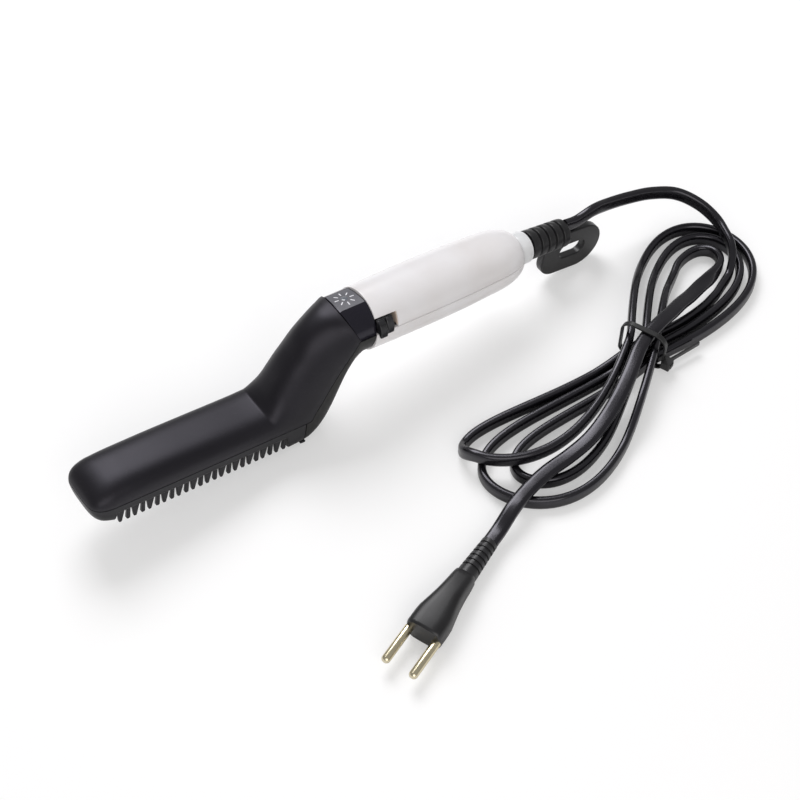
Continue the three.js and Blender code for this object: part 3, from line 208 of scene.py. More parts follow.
@dataclass(frozen=True)
class HandleFrame:
    """Places the handle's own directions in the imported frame.

    The handle's direction is the switch's sliding axis, and the tail ring fixes its place.
    """

    axis_height: float = 52.8
    ring_middle: float = 125.05
    head_pitch: float = math.radians(1.5)
    parting: float = 14.3
    guard_root: float = 129.2
    guard_pitch: float = math.radians(4.2)

    @property
    def along(self) -> Vector:
        """Unit vector towards the cord end."""
        return Vector(frame["joints"][0]["axis"]).normalized()

    @property
    def up(self) -> Vector:
        """Unit vector out of the handle's top."""
        return self.along.cross(Vector((0, 1, 0))).normalized()

    def matrix(self) -> Matrix:
        """Finds where the handle's own directions lie in the frame.

        Returns:
            The matrix from handle millimetres to frame metres.
        """
        low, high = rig.box("tail_ring")
        along, up = self.along, self.up
        origin = (low + high) / 2 - along * (self.ring_middle * MM) - up * (self.axis_height * MM)
        turn = Matrix((along, Vector((0, 1, 0)), up)).transposed().to_4x4()
        return Matrix.Translation(origin) @ turn @ Matrix.Scale(MM, 4)

    def head(self, x: float, z: float) -> Point2:
        """Turns head coordinates into handle ones.

        Args:
            x: distance along the head from its rear end.
            z: height over the sole.

        Returns:
            The same point as (u, w).
        """
        drop = z - self.parting
        cos, sin = math.cos(self.head_pitch), math.sin(self.head_pitch)
        return x * cos + drop * sin, self.parting - x * sin + drop * cos


PLACE = HandleFrame()

# Sizes that several parts share
COLLAR_RADIUS = 14.6
COLLAR_REAR = 31.7
SEAM_AT_AXIS = 24.3
SEAM_LEAN = 0.46
SIDE_PART = 2.6
GAP = 0.3
PLUG_HALF_HEIGHT = 6.9
RELIEF_LENGTH = 20.0


# Mesh helpers


def circle_angles(steps: int) -> list[float]:
    """Returns evenly spaced angles round a circle, in radians."""
    return [2 * math.pi * k / steps for k in range(steps)]


def mesh_piece(name: str, made: Mesh, to_frame: Matrix | None = None,
               sharp: float = 35.0) -> bpy.types.Object:
    """Makes a smooth-shaded mesh object.

    Args:
        name: the piece's name.
        made: its corners and faces.
        to_frame: matrix from its units to frame metres, the handle's own where none is given.
        sharp: edges over this angle, in degrees, stay sharp.

    Returns:
        The new object, at the frame's origin.
    """
    points, faces = made
    matrix = PLACE.matrix() if to_frame is None else to_frame
    mesh = bpy.data.meshes.new(name)
    mesh.from_pydata([matrix @ Vector(p) for p in points], [], faces)
    mesh.validate()
    tidy = bmesh.new()
    tidy.from_mesh(mesh)
    bmesh.ops.remove_doubles(tidy, verts=tidy.verts, dist=WELD)
    bmesh.ops.recalc_face_normals(tidy, faces=tidy.faces)
    tidy.to_mesh(mesh)
    tidy.free()
    shade(mesh, sharp)
    return placed(name, mesh)


def placed(name: str, data: bpy.types.ID) -> bpy.types.Object:
    """Puts an object into the scene.

    Args:
        name: its name.
        data: its mesh, camera or lamp.

    Returns:
        The object.
    """
    made = bpy.data.objects.new(name, data)
    bpy.context.scene.collection.objects.link(made)
    return made


def shade(mesh: bpy.types.Mesh, sharp: float) -> None:
    """Shades a mesh smooth, except over edges sharper than an angle in degrees."""
    mesh.shade_smooth()
    mesh.set_sharp_from_angle(angle=math.radians(sharp))


def skin(rows: list[list], closed: bool, first_cap: bool = False,
         last_cap: bool = False) -> Mesh:
    """Joins rows of equal length into quads.

    Args:
        rows: point rows.
        closed: whether each row runs back to its start.
        first_cap: whether the first row gets a face.
        last_cap: whether the last row gets a face.

    Returns:
        The points and the faces.
    """
    width = len(rows[0])
    points = [p for row in rows for p in row]
    faces = []
    for i in range(len(rows) - 1):
        for k in range(width if closed else width - 1):
            n = (k + 1) % width
            faces.append((i * width + k, i * width + n, (i + 1) * width + n, (i + 1) * width + k))
    if first_cap:
        faces.append(tuple(reversed(range(width))))
    if last_cap:
        faces.append(tuple((len(rows) - 1) * width + k for k in range(width)))
    return points, faces


def capped(rows: list[list]) -> Mesh:
    """Joins closed rows into a tube with both ends closed."""
    return skin(rows, closed=True, first_cap=True, last_cap=True)


def thicken(piece: bpy.types.Object, wall: float) -> None:
    """Gives an open skin a wall on its inner side.

    Args:
        piece: the skin.
        wall: the wall, in millimetres.
    """
    wall_up = piece.modifiers.new("wall", "SOLIDIFY")
    wall_up.thickness = wall * MM
    wall_up.offset = -1
    wall_up.use_even_offset = False
    wall_up.use_rim = True


def trim(piece: bpy.types.Object, point: Vector, normal: Vector) -> None:
    """Cuts a piece at a plane, drops the side that the normal points to and closes the cut.

    Args:
        piece: the object.
        point: a point of the plane, in the frame.
        normal: the plane's normal.
    """
    mesh = bmesh.new()
    mesh.from_mesh(piece.data)
    everything = list(mesh.verts) + list(mesh.edges) + list(mesh.faces)
    cut = bmesh.ops.bisect_plane(mesh, geom=everything, dist=1e-6, plane_co=point, plane_no=normal,
                                 clear_outer=True)
    edges = [g for g in cut["geom_cut"] if isinstance(g, bmesh.types.BMEdge)]
    ends = [v for e in edges for v in e.verts if sum(v in other.verts for other in edges) == 1]
    if len(ends) == 2:
        edges.append(mesh.edges.get(ends) or mesh.edges.new(ends))
    bmesh.ops.edgeloop_fill(mesh, edges=edges)
    bmesh.ops.recalc_face_normals(mesh, faces=mesh.faces)
    mesh.to_mesh(piece.data)
    mesh.free()
    shade(piece.data, 50)


def soften(piece: bpy.types.Object, width: float, segments: int = 2,
           angle: float = 40.0) -> bpy.types.Object:
    """Rounds a piece's sharp edges.

    Args:
        piece: the object.
        width: the rounding's width, in millimetres.
        segments: faces across each rounding.
        angle: only edges over this many degrees are rounded.

    Returns:
        The same piece.
    """
    edge = piece.modifiers.new("soft_edge", "BEVEL")
    edge.width = width * MM
    edge.segments = segments
    edge.limit_method = "ANGLE"
    edge.angle_limit = math.radians(angle)
    edge.harden_normals = False
    edge.use_clamp_overlap = True
    return piece


def turned(name: str, profile: list[Point2], to_frame: Matrix, height: float, sides: int = 96,
           sharp: float = 30.0) -> bpy.types.Object:
    """Turns a closed profile of (u, radius) about a line along u at a height.

    Args:
        name: the piece's name.
        profile: corners of the closed profile.
        to_frame: matrix to frame metres.
        height: w of the axis.
        sides: steps round the axis.
        sharp: edge angle in degrees that stays sharp.

    Returns:
        The turned piece.
    """
    rows = []
    for u, radius in profile + [profile[0]]:
        rows.append([(u, radius * math.cos(a), height + radius * math.sin(a)) for a in circle_angles(sides)])
    return mesh_piece(name, skin(rows, closed=True), to_frame, sharp)


def prism(outline: list[Point2], low: float, high: float) -> Mesh:
    """Extrudes a (u, w) outline from v=low to v=high.

    Args:
        outline: corners in order.
        low: the near side.
        high: the far side.

    Returns:
        The points and the faces.
    """
    count = len(outline)
    points = [(u, low, w) for u, w in outline] + [(u, high, w) for u, w in outline]
    return points, prism_faces(count)


def prism_faces(count: int) -> list[tuple[int, ...]]:
    """Lists the faces of a prism whose two rings of corners follow each other.

    Args:
        count: corners in one ring.

    Returns:
        Both ends and the sides, as corner indices.
    """
    faces = [tuple(range(count)), tuple(count + k for k in reversed(range(count)))]
    for k in range(count):
        n = (k + 1) % count
        faces.append((k, count + k, count + n, n))
    return faces


def boxy(value: float, power: float) -> float:
    """Pushes a sine or cosine outwards, so that a circle turns boxy."""
    return math.copysign(abs(value) ** power, value)


def merged(parts: list[Mesh]) -> Mesh:
    """Puts several meshes into one.

    Args:
        parts: the meshes, each with indices from 0.

    Returns:
        The one mesh.
    """
    points, faces = [], []
    for more_points, more_faces in parts:
        shift = len(points)
        points += more_points
        faces += [tuple(shift + k for k in f) for f in more_faces]
    return points, faces


def arc(centre: Point2, radius: float, start: float, end: float, steps: int) -> list[Point2]:
    """Points on an arc, angles in degrees, both ends included."""
    angles = (math.radians(start + (end - start) * k / steps) for k in range(steps + 1))
    return [(centre[0] + radius * math.cos(a), centre[1] + radius * math.sin(a)) for a in angles]


def rounded(corners: list[Point2], radii: list[float], steps: int = 6) -> list[Point2]:
    """Rounds a convex or concave outline's corners.

    Args:
        corners: the outline's corners in order.
        radii: rounding at each corner.
        steps: points on each rounding.

    Returns:
        The rounded outline.
    """
    result = []
    for i, corner in enumerate(corners):
        here = Vector(corner)
        before = (Vector(corners[i - 1]) - here).normalized()
        after = (Vector(corners[(i + 1) % len(corners)]) - here).normalized()
        if radii[i] <= 0:
            result.append(corner)
            continue
        half = before.angle(after) / 2
        reach = radii[i] / math.tan(half)
        middle = here + (before + after).normalized() * (radii[i] / math.sin(half))
        first, last = here + before * reach - middle, here + after * reach - middle
        for k in range(steps + 1):
            t = k / steps
            blend = (first * (1 - t) + last * t).normalized() * radii[i]
            result.append(tuple(middle + blend))
    return result


def monotone(knots: np.ndarray, values: np.ndarray, at: np.ndarray) -> np.ndarray:
    """Interpolates smoothly without overshoot.

    Args:
        knots: rising parameters, one per row of values.
        values: rows of numbers.
        at: parameters wanted.

    Returns:
        One row per wanted parameter.
    """
    step = np.diff(knots)[:, None]
    slope = np.diff(values, axis=0) / step
    tangent = np.zeros_like(values)
    tangent[0], tangent[-1] = slope[0], slope[-1]
    same = slope[:-1] * slope[1:] > 0
    weight1, weight2 = 2 * step[1:] + step[:-1], step[1:] + 2 * step[:-1]
    with np.errstate(divide="ignore", invalid="ignore"):
        mean = (weight1 + weight2) / (weight1 / slope[:-1] + weight2 / slope[1:])
    tangent[1:-1] = np.where(same, mean, 0)
    index = np.clip(np.searchsorted(knots, at) - 1, 0, len(knots) - 2)
    h = step[index]
    t = ((at - knots[index])[:, None]) / h
    return ((2 * t**3 - 3 * t**2 + 1) * values[index] + (t**3 - 2 * t**2 + t) * h * tangent[index]
            + (3 * t**2 - 2 * t**3) * values[index + 1] + (t**3 - t**2) * h * tangent[index + 1])


# Finishes


class Graph:
    """Adds nodes to a shader tree and wires them."""

    def __init__(self, tree: bpy.types.NodeTree) -> None:
        """Takes the tree that the nodes go into."""
        self.tree = tree

    def add(self, kind: str, inputs: dict, **settings: object) -> bpy.types.Node:
        """Adds one node.

        Args:
            kind: its type, without the ShaderNode prefix.
            inputs: a value or a feeding socket for each named or numbered input.
            settings: the node's other properties, such as its operation.

        Returns:
            The node.
        """
        node = self.tree.nodes.new(f"ShaderNode{kind}")
        for name, value in settings.items():
            setattr(node, name, value)
        self.feed(node, inputs)
        return node

    def feed(self, node: bpy.types.Node, inputs: dict) -> None:
        """Gives a node's inputs their values or links.

        Args:
            node: the node.
            inputs: a value or a feeding socket for each input.
        """
        for name, value in inputs.items():
            if isinstance(value, bpy.types.NodeSocket):
                self.tree.links.new(value, node.inputs[name])
            else:
                node.inputs[name].default_value = value

    def maths(self, operation: str, *inputs: object) -> bpy.types.NodeSocket:
        """Adds a maths node and returns its result."""
        return self.add("Math", dict(enumerate(inputs)), operation=operation).outputs[0]

    def noise(self, size: bpy.types.NodeSocket, detail: float) -> bpy.types.NodeSocket:
        """Adds noise in the object's own space and returns its strength."""
        place = self.add("TexCoord", {}).outputs["Object"]
        return self.add("TexNoise", {"Vector": place, "Scale": size, "Detail": detail}).outputs["Fac"]

    def spread(self, value: bpy.types.NodeSocket, low: float, high: float,
               most: float = 1.0) -> bpy.types.NodeSocket:
        """Stretches a value.

        Args:
            value: the value's socket.
            low: the value that becomes nothing.
            high: the value that becomes the most.
            most: the largest result.

        Returns:
            The stretched value, clamped.
        """
        inputs = {"Value": value, "From Min": low, "From Max": high, "To Max": most}
        return self.add("MapRange", inputs).outputs["Result"]

    def blend(self, share: bpy.types.NodeSocket, first: object, second: object) -> bpy.types.NodeSocket:
        """Mixes two colours by a share and returns the result."""
        inputs = {"Factor": share, "A": first, "B": second}
        return self.add("Mix", inputs, data_type="RGBA").outputs["Result"]


class SharedGroup:
    """A node group that every material uses, built once."""

    name = ""
    inputs: list[tuple] = []
    outputs: list[tuple] = []

    @classmethod
    def get(cls) -> bpy.types.ShaderNodeTree:
        """Returns the group, built on first use."""
        return bpy.data.node_groups.get(cls.name) or cls._build()

    @classmethod
    def _build(cls) -> bpy.types.ShaderNodeTree:
        """Makes the group with its named sockets and fills it.

        Returns:
            The group.
        """
        group = bpy.data.node_groups.new(cls.name, "ShaderNodeTree")
        for label, kind, default in cls.inputs:
            socket = group.interface.new_socket(name=label, in_out="INPUT", socket_type=kind)
            socket.default_value = default
        for label, kind in cls.outputs:
            group.interface.new_socket(name=label, in_out="OUTPUT", socket_type=kind)
        given = group.nodes.new("NodeGroupInput").outputs
        graph = Graph(group)
        graph.feed(group.nodes.new("NodeGroupOutput"), cls.results(graph, given))
        return group

    @classmethod
    def results(cls, graph: Graph, given: bpy.types.NodeOutputs) -> dict:
        """Returns the socket that feeds each output. Each group adds its nodes here."""
        raise NotImplementedError


class GrainGroup(SharedGroup):
    """Moulded or blasted grain: a fine height, a slow tone change and a roughness change."""

    name = "surface_grain"
    inputs = [("Colour", "NodeSocketColor", (0.5, 0.5, 0.5, 1)),
              ("Tone Colour", "NodeSocketColor", (0.6, 0.6, 0.6, 1)),
              ("Grain Size", "NodeSocketFloat", 2500.0), ("Tone Size", "NodeSocketFloat", 60.0),
              ("Roughness", "NodeSocketFloat", 0.4), ("Roughness Change", "NodeSocketFloat", 0.06)]
    outputs = [("Colour", "NodeSocketColor"), ("Roughness", "NodeSocketFloat"),
               ("Height", "NodeSocketFloat")]

    @classmethod
    def results(cls, graph: Graph, given: bpy.types.NodeOutputs) -> dict:
        """Adds the grain's nodes.

        Args:
            graph: the group's graph.
            given: the group's inputs.

        Returns:
            The socket that feeds each output.
        """
        fine = graph.noise(given["Grain Size"], 2.0)
        slow = graph.noise(given["Tone Size"], 3.0)
        tone = graph.spread(slow, 0.35, 0.65)
        centred = graph.maths("SUBTRACT", slow, 0.5)
        rough = graph.maths("MULTIPLY_ADD", centred, given["Roughness Change"], given["Roughness"])
        return {"Colour": graph.blend(tone, given["Colour"], given["Tone Colour"]), "Roughness": rough,
                "Height": fine}


class RubGroup(SharedGroup):
    """Handling marks: a mask that is strong on outer edges and scattered thinly elsewhere."""

    name = "handling_rub"
    inputs = [("Edge Amount", "NodeSocketFloat", 0.5), ("Speck Amount", "NodeSocketFloat", 0.2),
              ("Speck Size", "NodeSocketFloat", 700.0)]
    outputs = [("Mask", "NodeSocketFloat")]

    @classmethod
    def results(cls, graph: Graph, given: bpy.types.NodeOutputs) -> dict:
        """Adds the mask's nodes.

        Args:
            graph: the group's graph.
            given: the group's inputs.

        Returns:
            The socket that feeds each output.
        """
        edges = graph.spread(graph.add("NewGeometry", {}).outputs["Pointiness"], 0.53, 0.62)
        specks = graph.spread(graph.noise(given["Speck Size"], 4.0), 0.62, 0.75)
        edge_part = graph.maths("MULTIPLY", edges, given["Edge Amount"])
        speck_part = graph.maths("MULTIPLY", specks, given["Speck Amount"])
        return {"Mask": graph.maths("MAXIMUM", edge_part, speck_part)}


@dataclass(frozen=True)
class Finish:
    """One surface finish. Grain sizes are per metre, heights in metres."""

    # How far light scatters inside each colour, in metres
    SCATTER: ClassVar[Colour] = (0.002, 0.002, 0.002)

    name: str
    colour: Colour
    tone: Colour
    roughness: float
    roughness_change: float = 0.08
    grain_size: float = 3000.0
    grain_height: float = 0.00002
    grain_strength: float = 0.25
    tone_size: float = 45.0
    metallic: float = 0.0
    specular: float = 0.5
    gloss_tint: Colour = (1.0, 1.0, 1.0)
    coat: float = 0.0
    coat_roughness: float = 0.1
    transmission: float = 0.0
    subsurface: float = 0.0
    rub_colour: Colour = (0.3, 0.3, 0.3)
    rub_edge: float = 0.3
    rub_specks: float = 0.1

    def build(self) -> bpy.types.Material:
        """Makes the material, or finds it when it is already there.

        Returns:
            The material.
        """
        made = bpy.data.materials.get(self.name)
        if made:
            return made
        material = bpy.data.materials.new(self.name)
        material.use_nodes = True
        graph = Graph(material.node_tree)
        grain = graph.add("Group", {
            "Colour": (*self.colour, 1), "Tone Colour": (*self.tone, 1), "Grain Size": self.grain_size,
            "Tone Size": self.tone_size, "Roughness": self.roughness,
            "Roughness Change": self.roughness_change}, node_tree=GrainGroup.get()).outputs
        rub = graph.add("Group", {"Edge Amount": self.rub_edge, "Speck Amount": self.rub_specks},
                        node_tree=RubGroup.get())
        worn = graph.blend(rub.outputs["Mask"], grain["Colour"], (*self.rub_colour, 1))
        bump = graph.add("Bump", {"Strength": self.grain_strength, "Distance": self.grain_height,
                                  "Height": grain["Height"]})
        graph.feed(material.node_tree.nodes["Principled BSDF"], {
            "Base Color": self.pattern(graph, worn), "Roughness": grain["Roughness"],
            "Normal": bump.outputs["Normal"], "Metallic": self.metallic,
            "Specular IOR Level": self.specular, "Specular Tint": (*self.gloss_tint, 1),
            "Coat Weight": self.coat, "Coat Roughness": self.coat_roughness,
            "Transmission Weight": self.transmission, "Subsurface Weight": self.subsurface,
            "Subsurface Radius": self.SCATTER})
        return material

    def pattern(self, graph: Graph, colour: bpy.types.NodeSocket) -> bpy.types.NodeSocket:
        """Returns the base colour's socket. Finishes with a pattern add it here."""
        return colour


@dataclass(frozen=True)
class SpeckledFinish(Finish):
    """A finish with pale flecks scattered through it."""

    fleck_colour: Colour = (0.5, 0.5, 0.5)
    fleck_size: float = 2600.0
    fleck_amount: float = 0.5

    def pattern(self, graph: Graph, colour: bpy.types.NodeSocket) -> bpy.types.NodeSocket:
        """Mixes the flecks over the plain colour.

        Args:
            graph: the material's graph.
            colour: the plain surface's colour.

        Returns:
            The flecked colour.
        """
        place = graph.add("TexCoord", {}).outputs["Object"]
        cells = graph.add("TexVoronoi", {"Vector": place, "Scale": self.fleck_size}).outputs["Distance"]
        return graph.blend(graph.spread(cells, 0.45, 0.15, self.fleck_amount), colour,
                           (*self.fleck_colour, 1))


MATTE_HEAD = Finish("matte_head_black", (0.0042, 0.0038, 0.0050), (0.0060, 0.0055, 0.0070), 0.43, 0.10,
                    grain_size=5200, grain_strength=0.35, tone_size=38, specular=0.30,
                    gloss_tint=(0.90, 0.87, 1.0), rub_colour=(0.05, 0.05, 0.058), rub_edge=0.08)
MATTE_COVER = Finish("matte_cover_black", (0.0075, 0.0070, 0.0070), (0.0100, 0.0094, 0.0092), 0.50, 0.08,
                     grain_size=5200, grain_strength=0.35, tone_size=40, specular=0.32,
                     rub_colour=(0.05, 0.05, 0.05), rub_edge=0.08)
FRAME_BLACK = Finish("comb_frame_black", (0.0048, 0.0045, 0.0053), (0.0068, 0.0064, 0.0074), 0.42, 0.10,
                     grain_size=4200, grain_strength=0.3, tone_size=70, specular=0.32,
                     gloss_tint=(0.93, 0.92, 1.0), rub_colour=(0.05, 0.05, 0.056), rub_edge=0.12)
COLLAR_GLOSS = Finish("collar_gloss_black", (0.0050, 0.0044, 0.0078), (0.0070, 0.0062, 0.0102), 0.18, 0.04,
                      grain_size=1500, grain_strength=0.04, specular=0.42, gloss_tint=(0.88, 0.86, 1.0),
                      rub_colour=(0.08, 0.08, 0.09), rub_edge=0.25, rub_specks=0.05)
COLLAR_FACET = SpeckledFinish("collar_facet_grey", (0.060, 0.060, 0.074), (0.075, 0.074, 0.088), 0.35, 0.08,
                              grain_size=3500, grain_strength=0.2, fleck_colour=(0.30, 0.30, 0.34),
                              fleck_size=3600, fleck_amount=0.35, rub_edge=0.1)
RAY_WHITE = Finish("ray_print_white", (0.74, 0.74, 0.77), (0.68, 0.68, 0.71), 0.45, 0.1, grain_size=6000,
                   grain_strength=0.2, rub_colour=(0.5, 0.5, 0.52), rub_edge=0.0, rub_specks=0.3)
LENS_SMOKE = Finish("lens_smoke", (0.10, 0.11, 0.13), (0.13, 0.14, 0.16), 0.15, 0.05, grain_size=2500,
                    grain_strength=0.05, coat=0.5, coat_roughness=0.05, rub_edge=0.1, rub_specks=0.05)
PEARL = Finish("pearl_white", (0.690, 0.666, 0.664), (0.735, 0.722, 0.732), 0.30, 0.06, grain_size=2600,
               grain_height=0.00001, grain_strength=0.10, tone_size=42, coat=0.35, coat_roughness=0.18,
               subsurface=0.04, rub_colour=(0.60, 0.57, 0.55), rub_edge=0.15, rub_specks=0.03)
SLOT_BEIGE = Finish("slot_wall_beige", (0.58, 0.47, 0.39), (0.64, 0.53, 0.45), 0.5, 0.1, grain_size=2500,
                    grain_strength=0.2, rub_edge=0.1)
RING_PALE = Finish("tail_ring_pale", (0.70, 0.71, 0.72), (0.78, 0.785, 0.79), 0.28, 0.08, grain_size=2200,
                   grain_strength=0.12, coat=0.3, transmission=0.10, subsurface=0.1,
                   rub_colour=(0.5, 0.5, 0.52), rub_edge=0.1, rub_specks=0.05)
KNOB_BLACK = Finish("knob_satin_black", (0.0055, 0.0053, 0.0065), (0.0080, 0.0078, 0.0092), 0.28,
                    grain_size=3200, grain_strength=0.15, specular=0.4, rub_colour=(0.08, 0.08, 0.09),
                    rub_edge=0.4)
GUARD_RUBBER = Finish("guard_satin_black", (0.0062, 0.0060, 0.0068), (0.0095, 0.0092, 0.0102), 0.38, 0.12,
                      grain_size=3000, grain_strength=0.22, tone_size=90, specular=0.4,
                      rub_colour=(0.06, 0.06, 0.066), rub_edge=0.4, rub_specks=0.12)
CORD_JACKET = Finish("cord_jacket_black", (0.0036, 0.0033, 0.0044), (0.0056, 0.0052, 0.0066), 0.22, 0.08,
                     grain_size=1500, grain_height=0.00003, grain_strength=0.10, tone_size=70, specular=0.5,
                     gloss_tint=(0.93, 0.91, 1.0),
                     rub_colour=(0.05, 0.05, 0.058), rub_edge=0.15, rub_specks=0.12)
TIE_NYLON = Finish("tie_nylon_black", (0.0050, 0.0050, 0.0056), (0.0078, 0.0078, 0.0085), 0.34,
                   grain_size=3500, grain_strength=0.15, specular=0.4, rub_colour=(0.06, 0.06, 0.06),
                   rub_edge=0.4)
PLATE_ALUMINIUM = Finish("blasted_aluminium", (0.68, 0.69, 0.71), (0.60, 0.61, 0.63), 0.38, 0.14,
                         grain_size=3800, grain_strength=0.35, tone_size=80, metallic=1.0,
                         rub_colour=(0.8, 0.8, 0.82), rub_edge=0.4)
PLATED_STEEL = Finish("plated_steel", (0.56, 0.57, 0.58), (0.48, 0.49, 0.51), 0.30, 0.12, grain_size=2600,
                      grain_strength=0.2, metallic=1.0, rub_colour=(0.75, 0.75, 0.76), rub_edge=0.5)
PIN_METAL = Finish("nickel_flashed_brass", (0.66, 0.60, 0.44), (0.56, 0.51, 0.38), 0.22, 0.1,
                   grain_size=1800, grain_strength=0.1, metallic=1.0, rub_colour=(0.72, 0.60, 0.34),
                   rub_edge=0.5)
STONE = SpeckledFinish("heating_stone_grey", (0.20, 0.185, 0.17), (0.25, 0.235, 0.215), 0.8, 0.1,
                       grain_size=2400, grain_strength=0.5, fleck_colour=(0.42, 0.40, 0.37),
                       fleck_size=1800, fleck_amount=0.4)
FILM = Finish("amber_film", (0.46, 0.17, 0.028), (0.52, 0.22, 0.045), 0.25, grain_size=900,
              grain_strength=0.1, coat=0.3)
LAMINATE = SpeckledFinish("board_laminate_green", (0.030, 0.135, 0.050), (0.040, 0.165, 0.065), 0.35, 0.1,
                          grain_size=1400, grain_strength=0.15, fleck_colour=(0.07, 0.22, 0.10),
                          fleck_size=1200, fleck_amount=0.3)
WIRE_RED = Finish("silicone_red", (0.34, 0.025, 0.018), (0.40, 0.035, 0.025), 0.4, 0.1, grain_size=2500,
                  grain_strength=0.15)
WIRE_WHITE = Finish("silicone_white", (0.70, 0.68, 0.62), (0.76, 0.74, 0.68), 0.42, 0.1, grain_size=2500,
                    grain_strength=0.15)
PART_DARK = Finish("moulded_component_dark", (0.020, 0.020, 0.022), (0.028, 0.028, 0.030), 0.5, 0.1,
                   grain_size=3800, grain_strength=0.35)
PART_RED = Finish("dipped_component_red", (0.34, 0.030, 0.020), (0.42, 0.045, 0.030), 0.3, 0.1,
                  grain_size=1800, grain_strength=0.15, coat=0.4)
PART_PALE = Finish("painted_component_pale", (0.62, 0.56, 0.45), (0.68, 0.62, 0.51), 0.6, 0.1,
                   grain_size=2800, grain_strength=0.3)
LED_RED = Finish("led_epoxy_red", (0.60, 0.085, 0.045), (0.66, 0.11, 0.06), 0.15, 0.05, grain_size=1500,
                 grain_strength=0.05, coat=0.4)
FUSE_CASE = Finish("tinned_case", (0.58, 0.54, 0.46), (0.50, 0.47, 0.41), 0.32, 0.1, grain_size=2600,
                   grain_strength=0.2, metallic=0.8)

SLOT_FINISHES = {
    "head_plastic": MATTE_HEAD, "frame_plastic": FRAME_BLACK, "collar_plastic": COLLAR_GLOSS,
    "lens_plastic": LENS_SMOKE, "led_epoxy": LED_RED, "pearl_plastic": PEARL, "ring_plastic": RING_PALE,
    "knob_plastic": KNOB_BLACK, "guard_rubber": GUARD_RUBBER, "cord_jacket": CORD_JACKET,
    "tie_nylon": TIE_NYLON, "plate_aluminium": PLATE_ALUMINIUM, "steel": PLATED_STEEL,
    "pin_brass": PIN_METAL, "stone_ceramic": STONE, "film": FILM, "board_laminate": LAMINATE,
    "wire_red": WIRE_RED, "wire_white": WIRE_WHITE, "part_dark": PART_DARK, "part_red": PART_RED,
    "part_pale": PART_PALE, "fuse_case": FUSE_CASE,
}


def dress(piece: bpy.types.Object, finish: Finish, slot: str, body: str = "comb",
          replaced: tuple[str, ...] = ()) -> None:
    """Gives a piece its finish and hands it to the frame.

    Args:
        piece: the object.
        finish: its surface.
        slot: the record's material slot.
        body: the CAD body it moves with.
        replaced: CAD nodes that it stands for.
    """
    piece.data.materials.clear()
    piece.data.materials.append(finish.build())
    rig.slot(piece, slot)
    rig.ride(piece, body)
    if replaced:
        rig.replaces(piece, *replaced)
    log.info("%s: %s on body %s, for %s", piece.name, finish.name, body, ", ".join(replaced) or "detail")


# Head, neck and comb frame


@dataclass(frozen=True)
class Station:
    """One cross-section of the head or neck, in handle (u, w)."""

    bottom: Point2
    side: Point2
    top: Point2
    half_width: float
    upper: float
    lower: float

    def numbers(self) -> list[float]:
        """Returns the station as one row of numbers."""
        return [*self.bottom, *self.side, *self.top, self.half_width, self.upper, self.lower]


